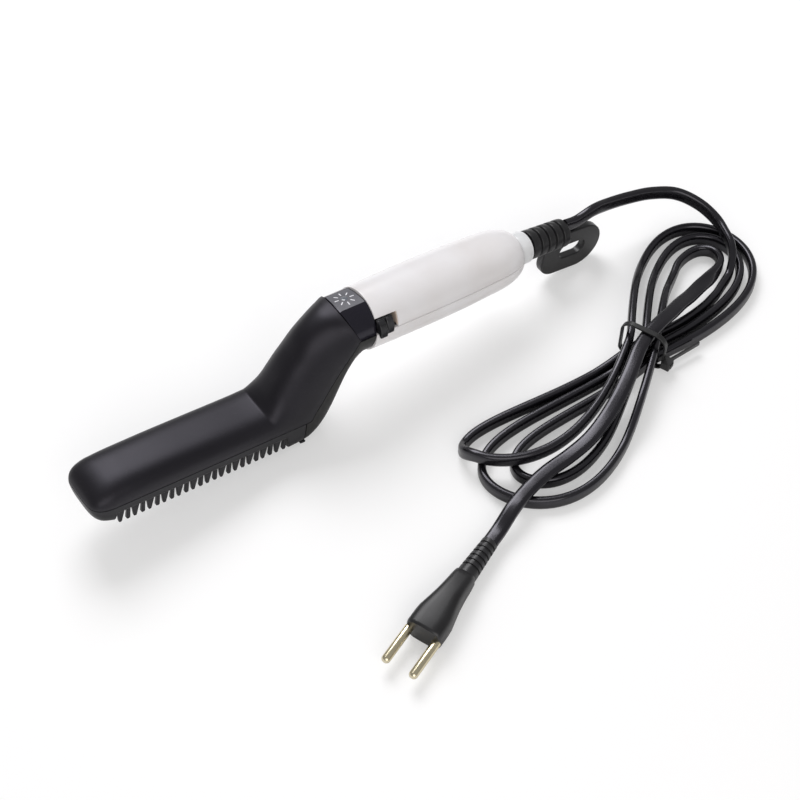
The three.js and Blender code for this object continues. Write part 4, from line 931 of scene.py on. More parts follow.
@dataclass
class HeadAndNeck:
    """The dog-leg body: upper shell, neck cover and toothed comb frame."""

    length: float = 108.4
    half_width: float = 14.0
    wall: float = 2.0
    parting_gap: float = 0.45
    top_height: float = 24.4
    rim_bottom: float = 9.0
    tooth_tip: float = 2.9
    tooth_pitch: float = 7.25
    tooth_pairs: int = 12
    tooth_thickness: float = 1.7
    first_tooth: float = 12.6
    heel_front: float = -9.6
    heel_joint: float = -1.4
    window_half: float = 9.6
    window: Point2 = (-95.5, -15.0)
    collar_radius: float = COLLAR_RADIUS
    seam_at_axis: float = SEAM_AT_AXIS
    seam_lean: float = SEAM_LEAN
    collar_rear: float = COLLAR_REAR
    side_part: float = SIDE_PART
    steps_round: int = 40
    # Stations at the heel's front, the collar's seam and the collar's rear
    heel_station: int = 13
    seam_station: int = 21
    rear_station: int = 22
    rounding: float = 0.28
    sharp: float = 50.0
    slim_tooth_after: float = 3.9
    ledge_inset: float = 0.35
    ledge_width: float = 2.4
    ledge_height: float = 1.4
    section_spacing: float = 1.5

    def stations(self) -> list[Station]:
        """Lists the body's sections.

        Returns:
            The sections from the nose's tip to the collar's rear.
        """
        head, parting, wide = PLACE.head, PLACE.parting, self.half_width
        nose, rim, tip = -self.length, self.rim_bottom, self.tooth_tip

        def across(x: float, bottom: float, top: float, width: float, upper: float, lower: float) -> Station:
            """A section of the head at x."""
            return Station(head(x, bottom), head(x, parting), head(x, top), width, upper, lower)

        axis, radius = PLACE.axis_height, self.collar_radius
        lean, side = self.seam_lean * radius, axis + self.side_part
        return [
            across(nose - 0.25, 13.2, 15.4, wide - 9.5, 2.4, 2.4),
            across(nose, 12.2, 16.1, wide - 6.2, 2.6, 2.6),
            across(nose + 0.8, 9.0, 17.9, wide - 3.7, 2.8, 2.8),
            across(nose + 2.6, 5.6, 19.9, wide - 1.8, 3.0, 3.0),
            across(nose + 5.4, 3.4, 21.6, wide - 0.6, 2.9, 3.4),
            across(nose + 8.4, tip, 22.7, wide - 0.1, 2.9, 4),
            across(nose + 10.0, tip + 0.3, 23.1, wide, 2.9, 5),
            across(nose + 10.8, rim, 23.25, wide, 2.9, 9),
            across(nose + 19, rim, 24.1, wide, 3.0, 9),
            across(nose + 32, rim, self.top_height, wide, 3.1, 9),
            across(-54, rim, self.top_height, wide, 3.2, 9),
            across(-27, rim, self.top_height - 0.1, wide, 3.2, 9),
            Station(head(self.heel_front - 0.2, rim), head(-15, parting), (-20.6, 25.1), wide, 3.3, 9),
            Station(head(self.heel_front + 0.4, 1.2), head(-9, parting), (-17.6, 28.6), wide, 3.0, 9),
            Station((0, 1.1), (1.0, parting + 0.1), (-14.2, 34.6), wide, 2.8, 6),
            Station((4.5, 2.0), (3.5, 19), (-11.6, 39.6), wide, 2.6, 5),
            Station((9.5, 5.4), (6.4, 24.5), (-8.8, 44.4), wide, 2.5, 4),
            Station((14, 12.5), (10.0, 31.4), (-5.0, 49.9), wide - 0.1, 2.4, 3.4),
            Station((17.8, 22.5), (14.2, 39.4), (-0.3, 56.9), wide, 2.2, 2.8),
            Station((21.5, 31.5), (18.0, 46.2), (6.4, 62.6), wide + 0.3, 2.1, 2.3),
            Station((26, 36.8), (21.0, 51.7), (12.4, 65.6), wide + 0.5, 2.1, 2.1),
            Station((self.seam_at_axis + lean, axis - radius),
                    (self.seam_at_axis - self.side_part * self.seam_lean, side),
                    (self.seam_at_axis - lean, axis + radius - 0.9), radius, 2.2, 2),
            Station((self.collar_rear, axis - radius), (self.collar_rear, side),
                    (self.collar_rear, axis + radius), radius, 2, 2),
        ]

    def dense(self, first: int, last: int) -> list[Station]:
        """Returns smooth in-between sections.

        Args:
            first: index of the first station.
            last: index of the last station, included.

        Returns:
            The sections, about the section spacing apart.
        """
        table = np.array([s.numbers() for s in self.stations()])
        jump = np.abs(np.diff(table[:, :6], axis=0)).max(axis=1)
        knots = np.concatenate([[0], np.cumsum(jump)])
        at = []
        for i in range(first, last):
            steps = max(3, round(jump[i] / self.section_spacing))
            at += [knots[i] + (knots[i + 1] - knots[i]) * k / steps for k in range(steps)]
        at.append(knots[last])
        rows = monotone(knots, table, np.array(at))
        return [Station((r[0], r[1]), (r[2], r[3]), (r[4], r[5]), r[6], r[7], r[8]) for r in rows]

    def half_ring(self, station: Station, half: Half, inset: float = 0.0) -> list[Point3]:
        """Returns a section's points from its near to its far parting edge.

        Args:
            station: the section.
            half: above or below the parting line.
            inset: how far inside the outer surface.

        Returns:
            Points (u, v, w), clear of the parting line by half its gap, with a lip at each end.
        """
        upper = half is Half.UPPER
        exponent, end = (station.upper, station.top) if upper else (station.lower, station.bottom)
        du, dw = end[0] - station.side[0], end[1] - station.side[1]
        reach = math.hypot(du, dw)
        share = max(reach - inset, 0.05) / reach
        least = self.parting_gap / 2 / max(reach, 0.3)
        wide = max(station.half_width - inset, 0.05)
        points = []
        for k in range(self.steps_round + 1):
            angle = math.pi * k / self.steps_round
            rise = max(abs(math.sin(angle)) ** (2 / exponent) * share, least)
            side = math.copysign(abs(math.cos(angle)) ** (2 / exponent), -math.cos(angle))
            points.append((station.side[0] + du * rise, side * wide, station.side[1] + dw * rise))
        lip = max(station.half_width - self.wall, 0.02)
        near, far = points[0], points[-1]
        return [(near[0], -lip, near[2]), *points, (far[0], lip, far[2])]

    def half_skin(self, first: int, last: int, half: Half, nose: bool, rear_lip: bool) -> Mesh:
        """Skins one half of the body between two stations.

        Args:
            first: index of the first station.
            last: index of the last station.
            half: above or below the parting line.
            nose: whether the first section is closed.
            rear_lip: whether the last section turns inward by the wall.

        Returns:
            The points and the faces.
        """
        sections = self.dense(first, last)
        rows = [self.half_ring(s, half) for s in sections]
        if rear_lip:
            rows.append(self.half_ring(sections[-1], half, self.wall))
        return skin(rows, closed=False, first_cap=nose)

    def upper_shell(self) -> bpy.types.Object:
        """Builds the shell over the head and neck, up to the collar's seam.

        Returns:
            The shell.
        """
        made = self.half_skin(0, self.seam_station, Half.UPPER, nose=True, rear_lip=True)
        piece = mesh_piece("head_shell_skin", made, sharp=self.sharp)
        return soften(piece, self.rounding, angle=self.sharp)

    def joint_plane(self, x: float) -> tuple[Vector, Vector]:
        """Finds the plane across the head at a place along it.

        Args:
            x: the place, from the head's rear end.

        Returns:
            A point of the plane and its normal, in the frame.
        """
        matrix = PLACE.matrix()
        u, w = PLACE.head(x, PLACE.parting)
        ahead = PLACE.head(x + 1, PLACE.parting)
        point = matrix @ Vector((u, 0, w))
        return point, (matrix @ Vector((ahead[0], 0, ahead[1])) - point).normalized()

    def neck_cover(self) -> bpy.types.Object:
        """Builds the cover behind the neck, from the heel joint to the collar's rear.

        Returns:
            The cover.
        """
        made = self.half_skin(self.heel_station, self.rear_station, Half.LOWER, nose=False, rear_lip=True)
        piece = mesh_piece("neck_cover_skin", made, sharp=self.sharp)
        point, normal = self.joint_plane(self.heel_joint + self.parting_gap)
        trim(piece, point, -normal)
        return soften(piece, self.rounding, angle=self.sharp)

    def comb_rim(self) -> bpy.types.Object:
        """Builds the comb frame's rim with its nose, plate window and heel block.

        Returns:
            The rim.
        """
        points, faces = self.half_skin(0, self.heel_station + 1, Half.LOWER, nose=True, rear_lip=False)
        low = PLACE.head(0, self.rim_bottom + 1.0)[1]
        kept = []
        for face in faces:
            u, v, w = (sum(points[k][axis] for k in face) / len(face) for axis in range(3))
            slope = (self.window[1] - u) * math.sin(PLACE.head_pitch)
            across = abs(v) < self.window_half
            inside = self.window[0] < u < self.window[1] and across and w < low + slope
            if not inside:
                kept.append(face)
        piece = mesh_piece("comb_rim_skin", (points, kept), sharp=self.sharp)
        point, normal = self.joint_plane(self.heel_joint)
        trim(piece, point, normal)
        return soften(piece, self.rounding, angle=self.sharp)

    def window_wall(self) -> bpy.types.Object:
        """Builds the ledge that runs round the plate's window.

        Returns:
            The ledge.
        """
        half, width = self.window_half - self.ledge_inset, self.ledge_width
        start, end = self.window[0] + 0.3, self.window[1] + 0.9
        low, high = self.rim_bottom + 0.05, self.rim_bottom + self.ledge_height
        rows = []
        for z, grow in ((low, 0.0), (high, 0.0), (high, width), (low, width)):
            ring = rounded([(start - grow, -half - grow), (end + grow, -half - grow),
                            (end + grow, half + grow), (start - grow, half + grow)], [1.0] * 4, 4)
            corners = [(*PLACE.head(x, z), v) for x, v in ring]
            rows.append([(u, v, w) for u, w, v in corners])
        return soften(mesh_piece("plate_window_ledge", skin([*rows, rows[0]], closed=True)), 0.25)

    def teeth(self) -> bpy.types.Object:
        """Builds both rows of teeth, each a broad wedge and a slim pin in turn.

        Returns:
            The teeth, as one piece.
        """
        parts = []
        root, tip = self.rim_bottom + 1.6, self.tooth_tip
        wedge = ((-1.9, root), (-0.62, tip), (0.70, tip), (2.0, root))
        slim = ((-0.85, root), (-0.95, tip), (0.95, tip), (0.85, root))
        for side in (-1, 1):
            outer = side * (self.half_width - 0.35)
            low, high = sorted((outer, outer - side * self.tooth_thickness))
            for i in range(self.tooth_pairs):
                x = -self.length + self.first_tooth + i * self.tooth_pitch
                for middle, shape, corner in ((x, wedge, 0.5), (x + self.slim_tooth_after, slim, 0.8)):
                    outline = rounded([(middle + dx, z) for dx, z in shape], [0, corner, corner, 0], 4)
                    parts.append(self._tooth(outline, low, high))
        return soften(mesh_piece("comb_teeth", merged(parts)), 0.3)

    def _tooth(self, outline: list[Point2], low: float, high: float) -> Mesh:
        """Extrudes a head-frame outline into one tooth."""
        return prism([PLACE.head(x, z) for x, z in outline], low, high)

    def sole_nib(self) -> bpy.types.Object:
        """Builds the small nib under the heel's rear edge.

        Returns:
            The nib.
        """
        outline = [(-2.6, 1.4), (-2.2, 0.2), (0.2, 0.0), (0.5, 0.3), (0.5, 1.0), (-1.2, 1.5)]
        reach = self.half_width - 1.2
        return soften(mesh_piece("heel_nib", self._tooth(outline, -reach, reach)), 0.2)

    def build(self) -> None:
        """Builds and dresses every piece of the head and neck."""
        dress(self.upper_shell(), MATTE_HEAD, "head_plastic", replaced=("head_upper_shell",))
        dress(self.neck_cover(), MATTE_COVER, "head_plastic", replaced=("neck_lower_cover",))
        dress(self.comb_rim(), FRAME_BLACK, "frame_plastic", replaced=("comb_frame",))
        dress(self.window_wall(), FRAME_BLACK, "frame_plastic")
        dress(self.teeth(), FRAME_BLACK, "frame_plastic")
        dress(self.sole_nib(), FRAME_BLACK, "frame_plastic")


# Collar


@dataclass
class Collar:
    """The glossy half band with its flat facet, printed rays and lens."""

    radius: float = COLLAR_RADIUS
    wall: float = 1.7
    rear: float = COLLAR_REAR
    seam_at_axis: float = SEAM_AT_AXIS
    seam_lean: float = SEAM_LEAN
    gap: float = GAP
    side_part: float = SIDE_PART
    facet_height: float = 13.6
    facet_edge: float = 12.95
    facet_turn: float = 12.0
    lens_at: float = 25.0
    lens_radius: float = 1.7
    ray_start: float = 2.7
    ray_end: float = 4.9
    ray_width: float = 0.55
    rays: int = 8
    first_ray: float = -5.0
    sharp: float = 12.0

    @property
    def facet_half(self) -> float:
        """Half the facet's width."""
        return math.sqrt(self.radius**2 - self.facet_edge**2)

    def facet_frame(self) -> tuple[Vector, Vector]:
        """Returns the facet's normal and its far-going direction, as (v, w)."""
        turn = math.radians(self.facet_turn)
        return Vector((math.sin(turn), math.cos(turn))), Vector((math.cos(turn), -math.sin(turn)))

    def on_facet(self, u: float, side: float, lift: float = 0.0) -> Point3:
        """Returns a point over the facet.

        Args:
            u: its place along the handle.
            side: how far it lies to the far side of the facet's middle.
            lift: its height over the facet.

        Returns:
            The point (u, v, w).
        """
        normal, across = self.facet_frame()
        share = min(abs(side) / self.facet_half, 1.0)
        crown = (self.facet_height - self.facet_edge) * (1 - share**2)
        point = normal * (self.facet_edge + crown + lift) + across * side
        return u, point.x, PLACE.axis_height + point.y

    def band(self) -> bpy.types.Object:
        """Builds the band, flattened at its facet.

        Returns:
            The band.
        """
        low = math.asin((self.side_part + self.gap / 8) / self.radius)
        middle = math.pi / 2 + math.radians(self.facet_turn)
        half = math.acos(self.facet_edge / self.radius)
        first, last = middle - half, middle + half
        near, flat, far, along = 34, 16, 26, 10
        angles = ([low + (first - low) * k / near for k in range(near)]
                  + [first + (last - first) * k / flat for k in range(flat + 1)]
                  + [last + (math.pi - low - last) * (k + 1) / far for k in range(far)])
        rows = []
        for share in [k / along for k in range(along + 1)]:
            row = []
            for angle in angles:
                v, height = -self.radius * math.cos(angle), self.radius * math.sin(angle)
                if first < angle < last:
                    _, v, top = self.on_facet(0.0, self.radius * math.sin(angle - middle))
                    height = top - PLACE.axis_height
                front = self.seam_at_axis - self.seam_lean * height + self.gap / 2
                row.append((front + (self.rear - front) * share, v, PLACE.axis_height + height))
            rows.append(row)
        piece = mesh_piece("collar_band", skin(rows, closed=False), sharp=self.sharp)
        thicken(piece, self.wall)
        return soften(piece, 0.22, 3, self.sharp)

    def facet(self) -> bpy.types.Object:
        """Builds the thin speckled inlay on the band's facet.

        Returns:
            The inlay.
        """
        margin, sunk, proud, half_steps = 0.3, -0.05, 0.04, 8
        reach = self.facet_half - margin
        rows = []
        for side in [reach * (k / half_steps - 1) for k in range(2 * half_steps + 1)]:
            height = self.on_facet(0.0, side)[2] - PLACE.axis_height
            front = self.seam_at_axis - self.seam_lean * height + self.gap / 2 + margin
            rear = self.rear - margin
            corners = ((front, sunk), (front, proud), (rear, proud), (rear, sunk))
            rows.append([self.on_facet(u, side, lift) for u, lift in corners])
        return mesh_piece("collar_facet", capped(rows))

    def printed_rays(self) -> bpy.types.Object:
        """Builds the printed rays round the lens.

        Returns:
            The rays, as one piece.
        """
        parts = []
        for i in range(self.rays):
            angle = math.radians(self.first_ray + 360 * i / self.rays)
            out = Vector((math.cos(angle), math.sin(angle)))
            side = Vector((-math.sin(angle), math.cos(angle)))
            ring = []
            for end, distance in ((1, self.ray_end), (-1, self.ray_start)):
                for k in range(5):
                    turn = math.radians(90 - 45 * k) if end > 0 else math.radians(-90 - 45 * k)
                    ring.append(out * (distance + self.ray_width / 2 * (math.cos(turn) - end))
                                + side * (self.ray_width / 2 * math.sin(turn)))
            points = [self.on_facet(self.lens_at + p.x, p.y, h) for h in (0.03, 0.06) for p in ring]
            parts.append((points, prism_faces(len(ring))))
        return mesh_piece("collar_rays", merged(parts))

    def lens(self) -> bpy.types.Object:
        """Builds the lens with a low dome.

        Returns:
            The lens.
        """
        profile = [(0.0, 0.30), (0.5, 0.29), (1.0, 0.23), (1.4, 0.15), (self.lens_radius, 0.0),
                   (self.lens_radius, -2.6), (0.0, -2.6)]
        rows = [[self.on_facet(self.lens_at + r * math.cos(a), r * math.sin(a), h)
                 for a in circle_angles(32)] for r, h in profile]
        return mesh_piece("collar_lens", skin(rows, closed=True), sharp=40)

    def build(self) -> None:
        """Builds and dresses the collar."""
        dress(self.band(), COLLAR_GLOSS, "collar_plastic", replaced=("indicator_collar",))
        dress(self.facet(), COLLAR_FACET, "collar_plastic")
        dress(self.printed_rays(), RAY_WHITE, "collar_plastic")
        dress(self.lens(), LENS_SMOKE, "lens_plastic", replaced=("indicator_lens",))


# Handle


def on_barrel(u: float, radius: float, heights: np.ndarray) -> list[Point3]:
    """Returns points on the handle's near side, at heights over its axis."""
    return [(u, -math.sqrt(radius**2 - z * z), PLACE.axis_height + z) for z in heights]


@dataclass
class Handle:
    """The two pearl shells with the switch's slot, and the pale ring at the tail."""

    start: float = 32.0
    start_radius: float = 14.9
    belly: float = 15.4
    shoulder_at: float = 100.0
    tail: float = 121.4
    spigot_radius: float = 6.3
    wall: float = 2.0
    gap: float = GAP
    side_part: float = SIDE_PART
    slot_end: float = 43.3
    slot_top: float = 9.6
    ring: Point2 = (121.7, 128.4)
    ring_radius: float = 7.9

    def outline(self) -> list[Point2]:
        """Lists the barrel's profile with its round shoulder.

        Returns:
            Points (u, radius) from the collar to the tail.
        """
        knots = np.array([self.start, 48.0, 66.0, 84.0, self.shoulder_at])
        radii = np.array([[self.start_radius], [self.belly - 0.15], [self.belly], [self.belly - 0.15],
                          [self.belly - 0.8]])
        at = np.concatenate([[self.start, self.start + 0.4], np.linspace(self.start + 2, self.slot_end, 9),
                             np.linspace(self.slot_end + 3, self.shoulder_at - 1, 22)])
        points = [(float(u), float(r)) for u, r in zip(at, monotone(knots, radii, at)[:, 0])]
        steps, tail_radius = 24, 8.6
        for k in range(steps + 1):
            share = min(1 - (1 - k / steps) ** 1.7, 0.995)
            drop = (self.belly - tail_radius) * (1 - math.sqrt(1 - share**2.4))
            u = self.shoulder_at + share * (self.tail - self.shoulder_at)
            points.append((u, self.belly - 0.8 - drop))
        return points + [(self.tail, self.spigot_radius + 0.3)]

    def shell(self, half: Half) -> bpy.types.Object:
        """Builds one shell as a swept skin, the upper one with the switch's slot.

        Args:
            half: above or below the parting line.

        Returns:
            The shell.
        """
        rows = []
        sides, slot_steps = 72, 10
        for u, radius in self.outline():
            part = math.asin(min((self.side_part + half.value * self.gap / 2) / radius, 1))
            if half is Half.UPPER:
                top = math.asin(min(self.slot_top / radius, 1))
                rest = sides - slot_steps
                angles = [part + (top - part) * k / slot_steps for k in range(slot_steps)]
                angles += [top + (math.pi - part - top) * k / rest for k in range(rest + 1)]
            else:
                angles = [part - (math.pi + 2 * part) * k / sides for k in range(sides + 1)]
            rows.append([(u, -radius * math.cos(a), PLACE.axis_height + radius * math.sin(a))
                         for a in angles])
        points, faces = skin(rows, closed=False)
        if half is Half.UPPER:
            width, front = len(rows[0]), self.slot_end - 0.05
            faces = [f for f in faces if not (points[f[0]][0] < front and f[0] % width < slot_steps)]
        name = "handle_upper_skin" if half is Half.UPPER else "handle_lower_skin"
        piece = mesh_piece(name, (points, faces), sharp=40)
        thicken(piece, self.wall)
        return soften(piece, 0.3, 3, 50)

    def slot_wall(self) -> bpy.types.Object:
        """Builds the lining that shows at the slot's rear end.

        Returns:
            The lining.
        """
        radius = self.start_radius + 0.12
        low, high = self.side_part + 0.5, self.slot_top - 0.3
        rows = []
        for u in (self.slot_end - 0.25, self.slot_end + 0.8):
            outer = on_barrel(u, radius - 0.42, np.linspace(low, high, 8))
            inner = on_barrel(u, radius - 5.2, np.linspace(high, low, 8))
            rows.append(outer + inner)
        return soften(mesh_piece("slot_end_lining", capped(rows), sharp=40), 0.12)

    def tail_ring(self) -> bpy.types.Object:
        """Builds the pale ring between the handle and the guard.

        Returns:
            The ring.
        """
        first, last = self.ring
        outer, inner = self.ring_radius, self.spigot_radius + self.gap
        profile = [(first, inner), (first, outer - 0.5), (first + 0.15, outer - 0.15), (first + 0.5, outer),
                   (last - 0.9, outer - 0.08), (last - 0.3, outer - 0.3), (last, outer - 0.7), (last, inner)]
        return turned("tail_ring_pale", profile, PLACE.matrix(), PLACE.axis_height)

    def build(self) -> None:
        """Builds and dresses the handle."""
        dress(self.shell(Half.UPPER), PEARL, "pearl_plastic", replaced=("handle_upper_shell",))
        dress(self.shell(Half.LOWER), PEARL, "pearl_plastic", replaced=("handle_lower_shell",))
        dress(self.slot_wall(), SLOT_BEIGE, "pearl_plastic")
        dress(self.tail_ring(), RING_PALE, "ring_plastic", replaced=("tail_ring",))


@dataclass
class SwitchKnob:
    """The sliding knob: a low shoe with a raised grip at its front and a lower step behind it."""

    front: float = 32.3
    length: float = 8.3
    grip: float = 3.7
    low: float = 3.1
    high: float = 9.3
    inner: float = 12.4
    outer: float = 15.35

    def shoe(self) -> Mesh:
        """Makes the shoe, curved like the barrel.

        Returns:
            Its points and faces.
        """
        rows = []
        for u in (self.front, self.front + self.length):
            # The top edge runs towards the axis, as the slot's does
            inner_high = self.high * self.inner / self.outer
            outer = on_barrel(u, self.outer, np.linspace(self.low, self.high, 9))
            inner = on_barrel(u, self.inner, np.linspace(inner_high, self.low, 9))
            rows.append(outer + inner)
        return capped(rows)

    def pad(self, start: float, end: float, rise: float) -> Mesh:
        """Returns a raised pad.

        Args:
            start: where it starts along the handle.
            end: where it ends.
            rise: how far it stands over the first grip outline.

        Returns:
            The points and the faces.
        """
        outline = [(-14.6, 3.3), (-16.2 - rise, 1.7), (-17.1 - rise, 2.0), (-16.9 - rise, 5.2),
                   (-15.1 - rise, 8.3), (-12.6, 9.1)]
        rows = [[(u, v, PLACE.axis_height + z) for v, z in outline] for u in (start, end)]
        return capped(rows)

    def build(self) -> None:
        """Builds and dresses the knob on its own body."""
        parts = [self.shoe(), self.pad(self.front, self.front + self.grip, 0.15),
                 self.pad(self.front + self.grip + 0.7, self.front + self.length - 0.3, -1.0)]
        piece = soften(mesh_piece("switch_knob_grip", merged(parts), sharp=30), 0.35, 3, 35)
        dress(piece, KNOB_BLACK, "knob_plastic", body="knob", replaced=("switch_knob",))


# Guard and hang loop


@dataclass
class CordGuard:
    """The ribbed guard at the tail and the flat loop under it."""

    length: float = 23.4
    radius: float = 7.2
    end_radius: float = 6.9
    ribs: int = 5
    groove: float = 1.3
    groove_depth: float = 1.0
    half_plate: float = 2.0
    left: float = 13.5
    bottom: float = -25.0
    end_centre: float = 38.0
    corner: float = 10.0
    slot: tuple[float, float, float, float] = (24.5, 40.0, -16.4, -8.2)
    slot_corner: float = 3.6

    def matrix(self) -> Matrix:
        """Returns the matrix from guard millimetres to frame metres."""
        turn = Matrix.Rotation(PLACE.guard_pitch, 4, "Y")
        return PLACE.matrix() @ Matrix.Translation((PLACE.guard_root, 0, PLACE.axis_height)) @ turn

    def sleeve(self) -> bpy.types.Object:
        """Builds the ribbed sleeve with rounded ribs.

        Returns:
            The sleeve.
        """
        profile = [(0.0, 4.6), (0.0, self.radius - 0.4), (0.12, self.radius - 0.1), (0.4, self.radius)]
        pitch = self.length / self.ribs
        for i in range(1, self.ribs):
            x = i * pitch
            radius = self.radius + (self.end_radius - self.radius) * x / self.length
            half = self.groove / 2
            edge = ((0.3, 0.0), (0.08, 0.08), (-0.08, 0.3), (-0.16, 0.8), (-0.35, 1.0))
            falling = [(-half - out, drop) for out, drop in edge]
            rising = [(half + out, drop) for out, drop in reversed(edge)]
            for du, drop in falling + rising:
                profile.append((x + du, radius - drop * self.groove_depth))
        end, tip = self.length, self.end_radius
        profile += [(end - 1.0, tip), (end - 0.45, tip - 0.13), (end - 0.12, tip - 0.45), (end, tip - 1.0),
                    (end, 0.05), (0.4, 0.05)]
        return turned("guard_sleeve", profile, self.matrix(), 0.0, 96, 38)

    def loop(self) -> bpy.types.Object:
        """Builds the loop plate round its slot.

        Returns:
            The loop.
        """
        radius = -self.bottom / 2
        outline = [(self.left, -3.0), (self.left, self.bottom + self.corner)]
        outline += arc((self.left + self.corner, self.bottom + self.corner), self.corner, 180, 270, 14)[1:]
        outline += arc((self.end_centre, self.bottom / 2), radius, -90, 90, 32)
        outline += [(self.left + 2.0, 0.0)]
        x0, x1, z0, z1 = self.slot
        hole = rounded([(x1, z1), (x0, z1), (x0, z0), (x1, z0)], [self.slot_corner] * 4, 10)
        mesh = bmesh.new()
        loops = []
        for ring in (outline, hole):
            verts = [mesh.verts.new((x, -self.half_plate, z)) for x, z in ring]
            loops += [mesh.edges.new((verts[k], verts[(k + 1) % len(verts)])) for k in range(len(verts))]
        filled = bmesh.ops.triangle_fill(mesh, use_beauty=True, use_dissolve=False, edges=loops)
        flat = [g for g in filled["geom"] if isinstance(g, bmesh.types.BMFace)]
        raised = bmesh.ops.extrude_face_region(mesh, geom=flat)
        top = [g for g in raised["geom"] if isinstance(g, bmesh.types.BMVert)]
        bmesh.ops.translate(mesh, verts=top, vec=(0, 2 * self.half_plate, 0))
        bmesh.ops.recalc_face_normals(mesh, faces=mesh.faces)
        bmesh.ops.transform(mesh, matrix=self.matrix(), verts=mesh.verts)
        data = bpy.data.meshes.new("hang_loop")
        mesh.to_mesh(data)
        mesh.free()
        shade(data, 35)
        return soften(placed("hang_loop", data), 0.55, 3, 50)

    def build(self) -> None:
        """Builds and dresses the guard and its loop."""
        dress(self.sleeve(), GUARD_RUBBER, "guard_rubber", replaced=("cord_guard",))
        dress(self.loop(), GUARD_RUBBER, "guard_rubber")


# Cord, tie and plug


@dataclass(frozen=True)
class Lobe:
    """One lobe of the hank: its reach, half width, sideways shift and lean, in millimetres."""

    length: float
    width: float
    shift: float
    skew: float


@dataclass
class TiedCord:
    """The flat cord: out of the guard, wound in a tied hank, and on to its plug."""

    width: float = 7.0
    thickness: float = 3.9
    gap: float = GAP
    declared_length: float = 1.6
    exit_rise: float = 3.9
    tie: Point2 = (116.3, -64.65)
    turn: float = math.radians(21)
    pitch: float = 5.6
    entry_angle: float = 0.85
    places: tuple[float, ...] = (0.84, 1.18, -1.16, -0.16, -0.16, -1.16, 1.37)
    tail_angle: float = 0.8
    entry_lobe: Lobe = Lobe(78.5, 18.8, 2.0, 0.0)
    lobes: tuple[Lobe, ...] = (
        Lobe(97.0, 11.0, 28.0, 16.0), Lobe(89.0, 21.5, 2.0, 0.0), Lobe(91.0, 9.8, 14.0, 15.0),
        Lobe(83.5, 19.0, 2.0, 0.0), Lobe(103.6, 15.2, 18.0, 18.0), Lobe(73.0, 13.2, 2.0, 0.0))
    floor_gap: float = 0.15
    level_gap: float = 0.6
    # Angle at which the first lobe climbs over, and the angle that it takes
    first_climb: float = 1.15
    first_climb_span: float = 0.5
    # Distance from the tie at which an upper strand climbs, and the distance that it takes
    climb_from: float = 54.0
    climb_span: float = 32.0
    # The same for the rise over the tie's strap
    lift_from: float = 26.0
    lift_span: float = 20.0
    # Share of the tail at which it turns flat, and the share that it takes
    flat_from: float = 0.16
    flat_span: float = 0.12
    plug_place: Point2 = (-150.0, 4.4)
    strap: float = 1.0
    steps_per_lobe: int = 72
    plug_half: float = PLUG_HALF_HEIGHT
    relief_length: float = RELIEF_LENGTH
    lead_route: tuple[Point3, ...] = (
        (138.6, 1.2, 31.2), (148.0, 1.9, 28.8), (160.8, 1.0, 26.2), (174.3, -1.8, 23.8),
        (186.0, -7.7, 21.2), (193.2, -17.8, 17.4), (195.8, -28.4, 13.4), (194.2, -35.8, 12.3),
        (192.4, -41.8, 11.4), (189.4, -47.2, 8.7), (186.2, -50.2, 6.0))

    @property
    def floor_level(self) -> float:
        """Height of a cord's centre where it stands on the floor."""
        return self.width / 2 + self.floor_gap

    def on_floor(self, s: float, r: float, z: float) -> Vector:
        """Returns a point given along the hank, to its left and up, all from the tie."""
        cos, sin = math.cos(self.turn), math.sin(self.turn)
        return Vector((self.tie[0] + s * cos - r * sin, self.tie[1] + s * sin + r * cos, z))

    @property
    def over_waist(self) -> float:
        """Height of the tail's centre where it lies over the waist."""
        return (self.floor_level + self.strap + self.gap + self.width * 1.5 + self.level_gap * 2
                + self.thickness / 2)

    def hank_point(self, angle: float) -> Vector:
        """Finds the winding's centre; odd lobes are the far ones.

        Args:
            angle: half a turn for each lobe.

        Returns:
            The point, in millimetres.
        """
        number = math.floor(angle / math.pi)
        within = angle - number * math.pi
        far = number % 2 != 0
        lobe = self.entry_lobe if number < 0 else self.lobes[number]
        place, following = self.places[max(number, 0)], self.places[number + 1]
        s = (1 if far else -1) * lobe.length * math.sin(within)
        bow = (lobe.shift + lobe.skew * math.cos(within)) * math.sin(within) ** 2
        offset = self.pitch * (place + (following - place) * smooth(within / math.pi))
        r = lobe.width * math.sin(2 * within) + bow + offset
        upper = within < math.pi / 2 if far else within > math.pi / 2
        if number == 0:
            over = smooth((within - self.first_climb) / self.first_climb_span)
        else:
            over = smooth((self.climb_from - abs(s)) / self.climb_span) if upper else 0.0
        lift = (self.strap + self.gap) * smooth((self.lift_from - abs(s)) / self.lift_span)
        return self.on_floor(s, r, self.floor_level + lift + over * (self.width + self.level_gap))

    def hank(self) -> list[Vector]:
        """Lays the winding, with one straight cord width at each end.

        Returns:
            Its centre points, in millimetres.
        """
        start, end = -self.entry_angle, math.pi * (len(self.lobes) - 1) + self.tail_angle
        coarse_per_lobe = 24
        coarse = round(coarse_per_lobe * (end - start) / math.pi)
        steps = round(self.steps_per_lobe * (end - start) / math.pi)
        points = [self.hank_point(start + (end - start) * i / steps) for i in range(steps + 1)]
        first = self.hank_point(start + (end - start) / coarse)
        last = self.hank_point(end - (end - start) / coarse)
        keep_first = max(1, round(1.6 * self.steps_per_lobe / coarse_per_lobe))
        head = self._straight(points[0], first)
        foot = self._straight(points[-1], last)
        return [points[0], head] + points[1 + keep_first:-1 - keep_first] + [foot, points[-1]]

    def _straight(self, tip: Vector, following: Vector) -> Vector:
        """Finds the point one cord width inside a tip, level with it.

        Args:
            tip: the winding's end.
            following: a point further inside.

        Returns:
            The point, in millimetres.
        """
        away = tip - following
        away.z = 0
        inside = tip - away.normalized() * self.width
        return Vector((inside.x, inside.y, tip.z))

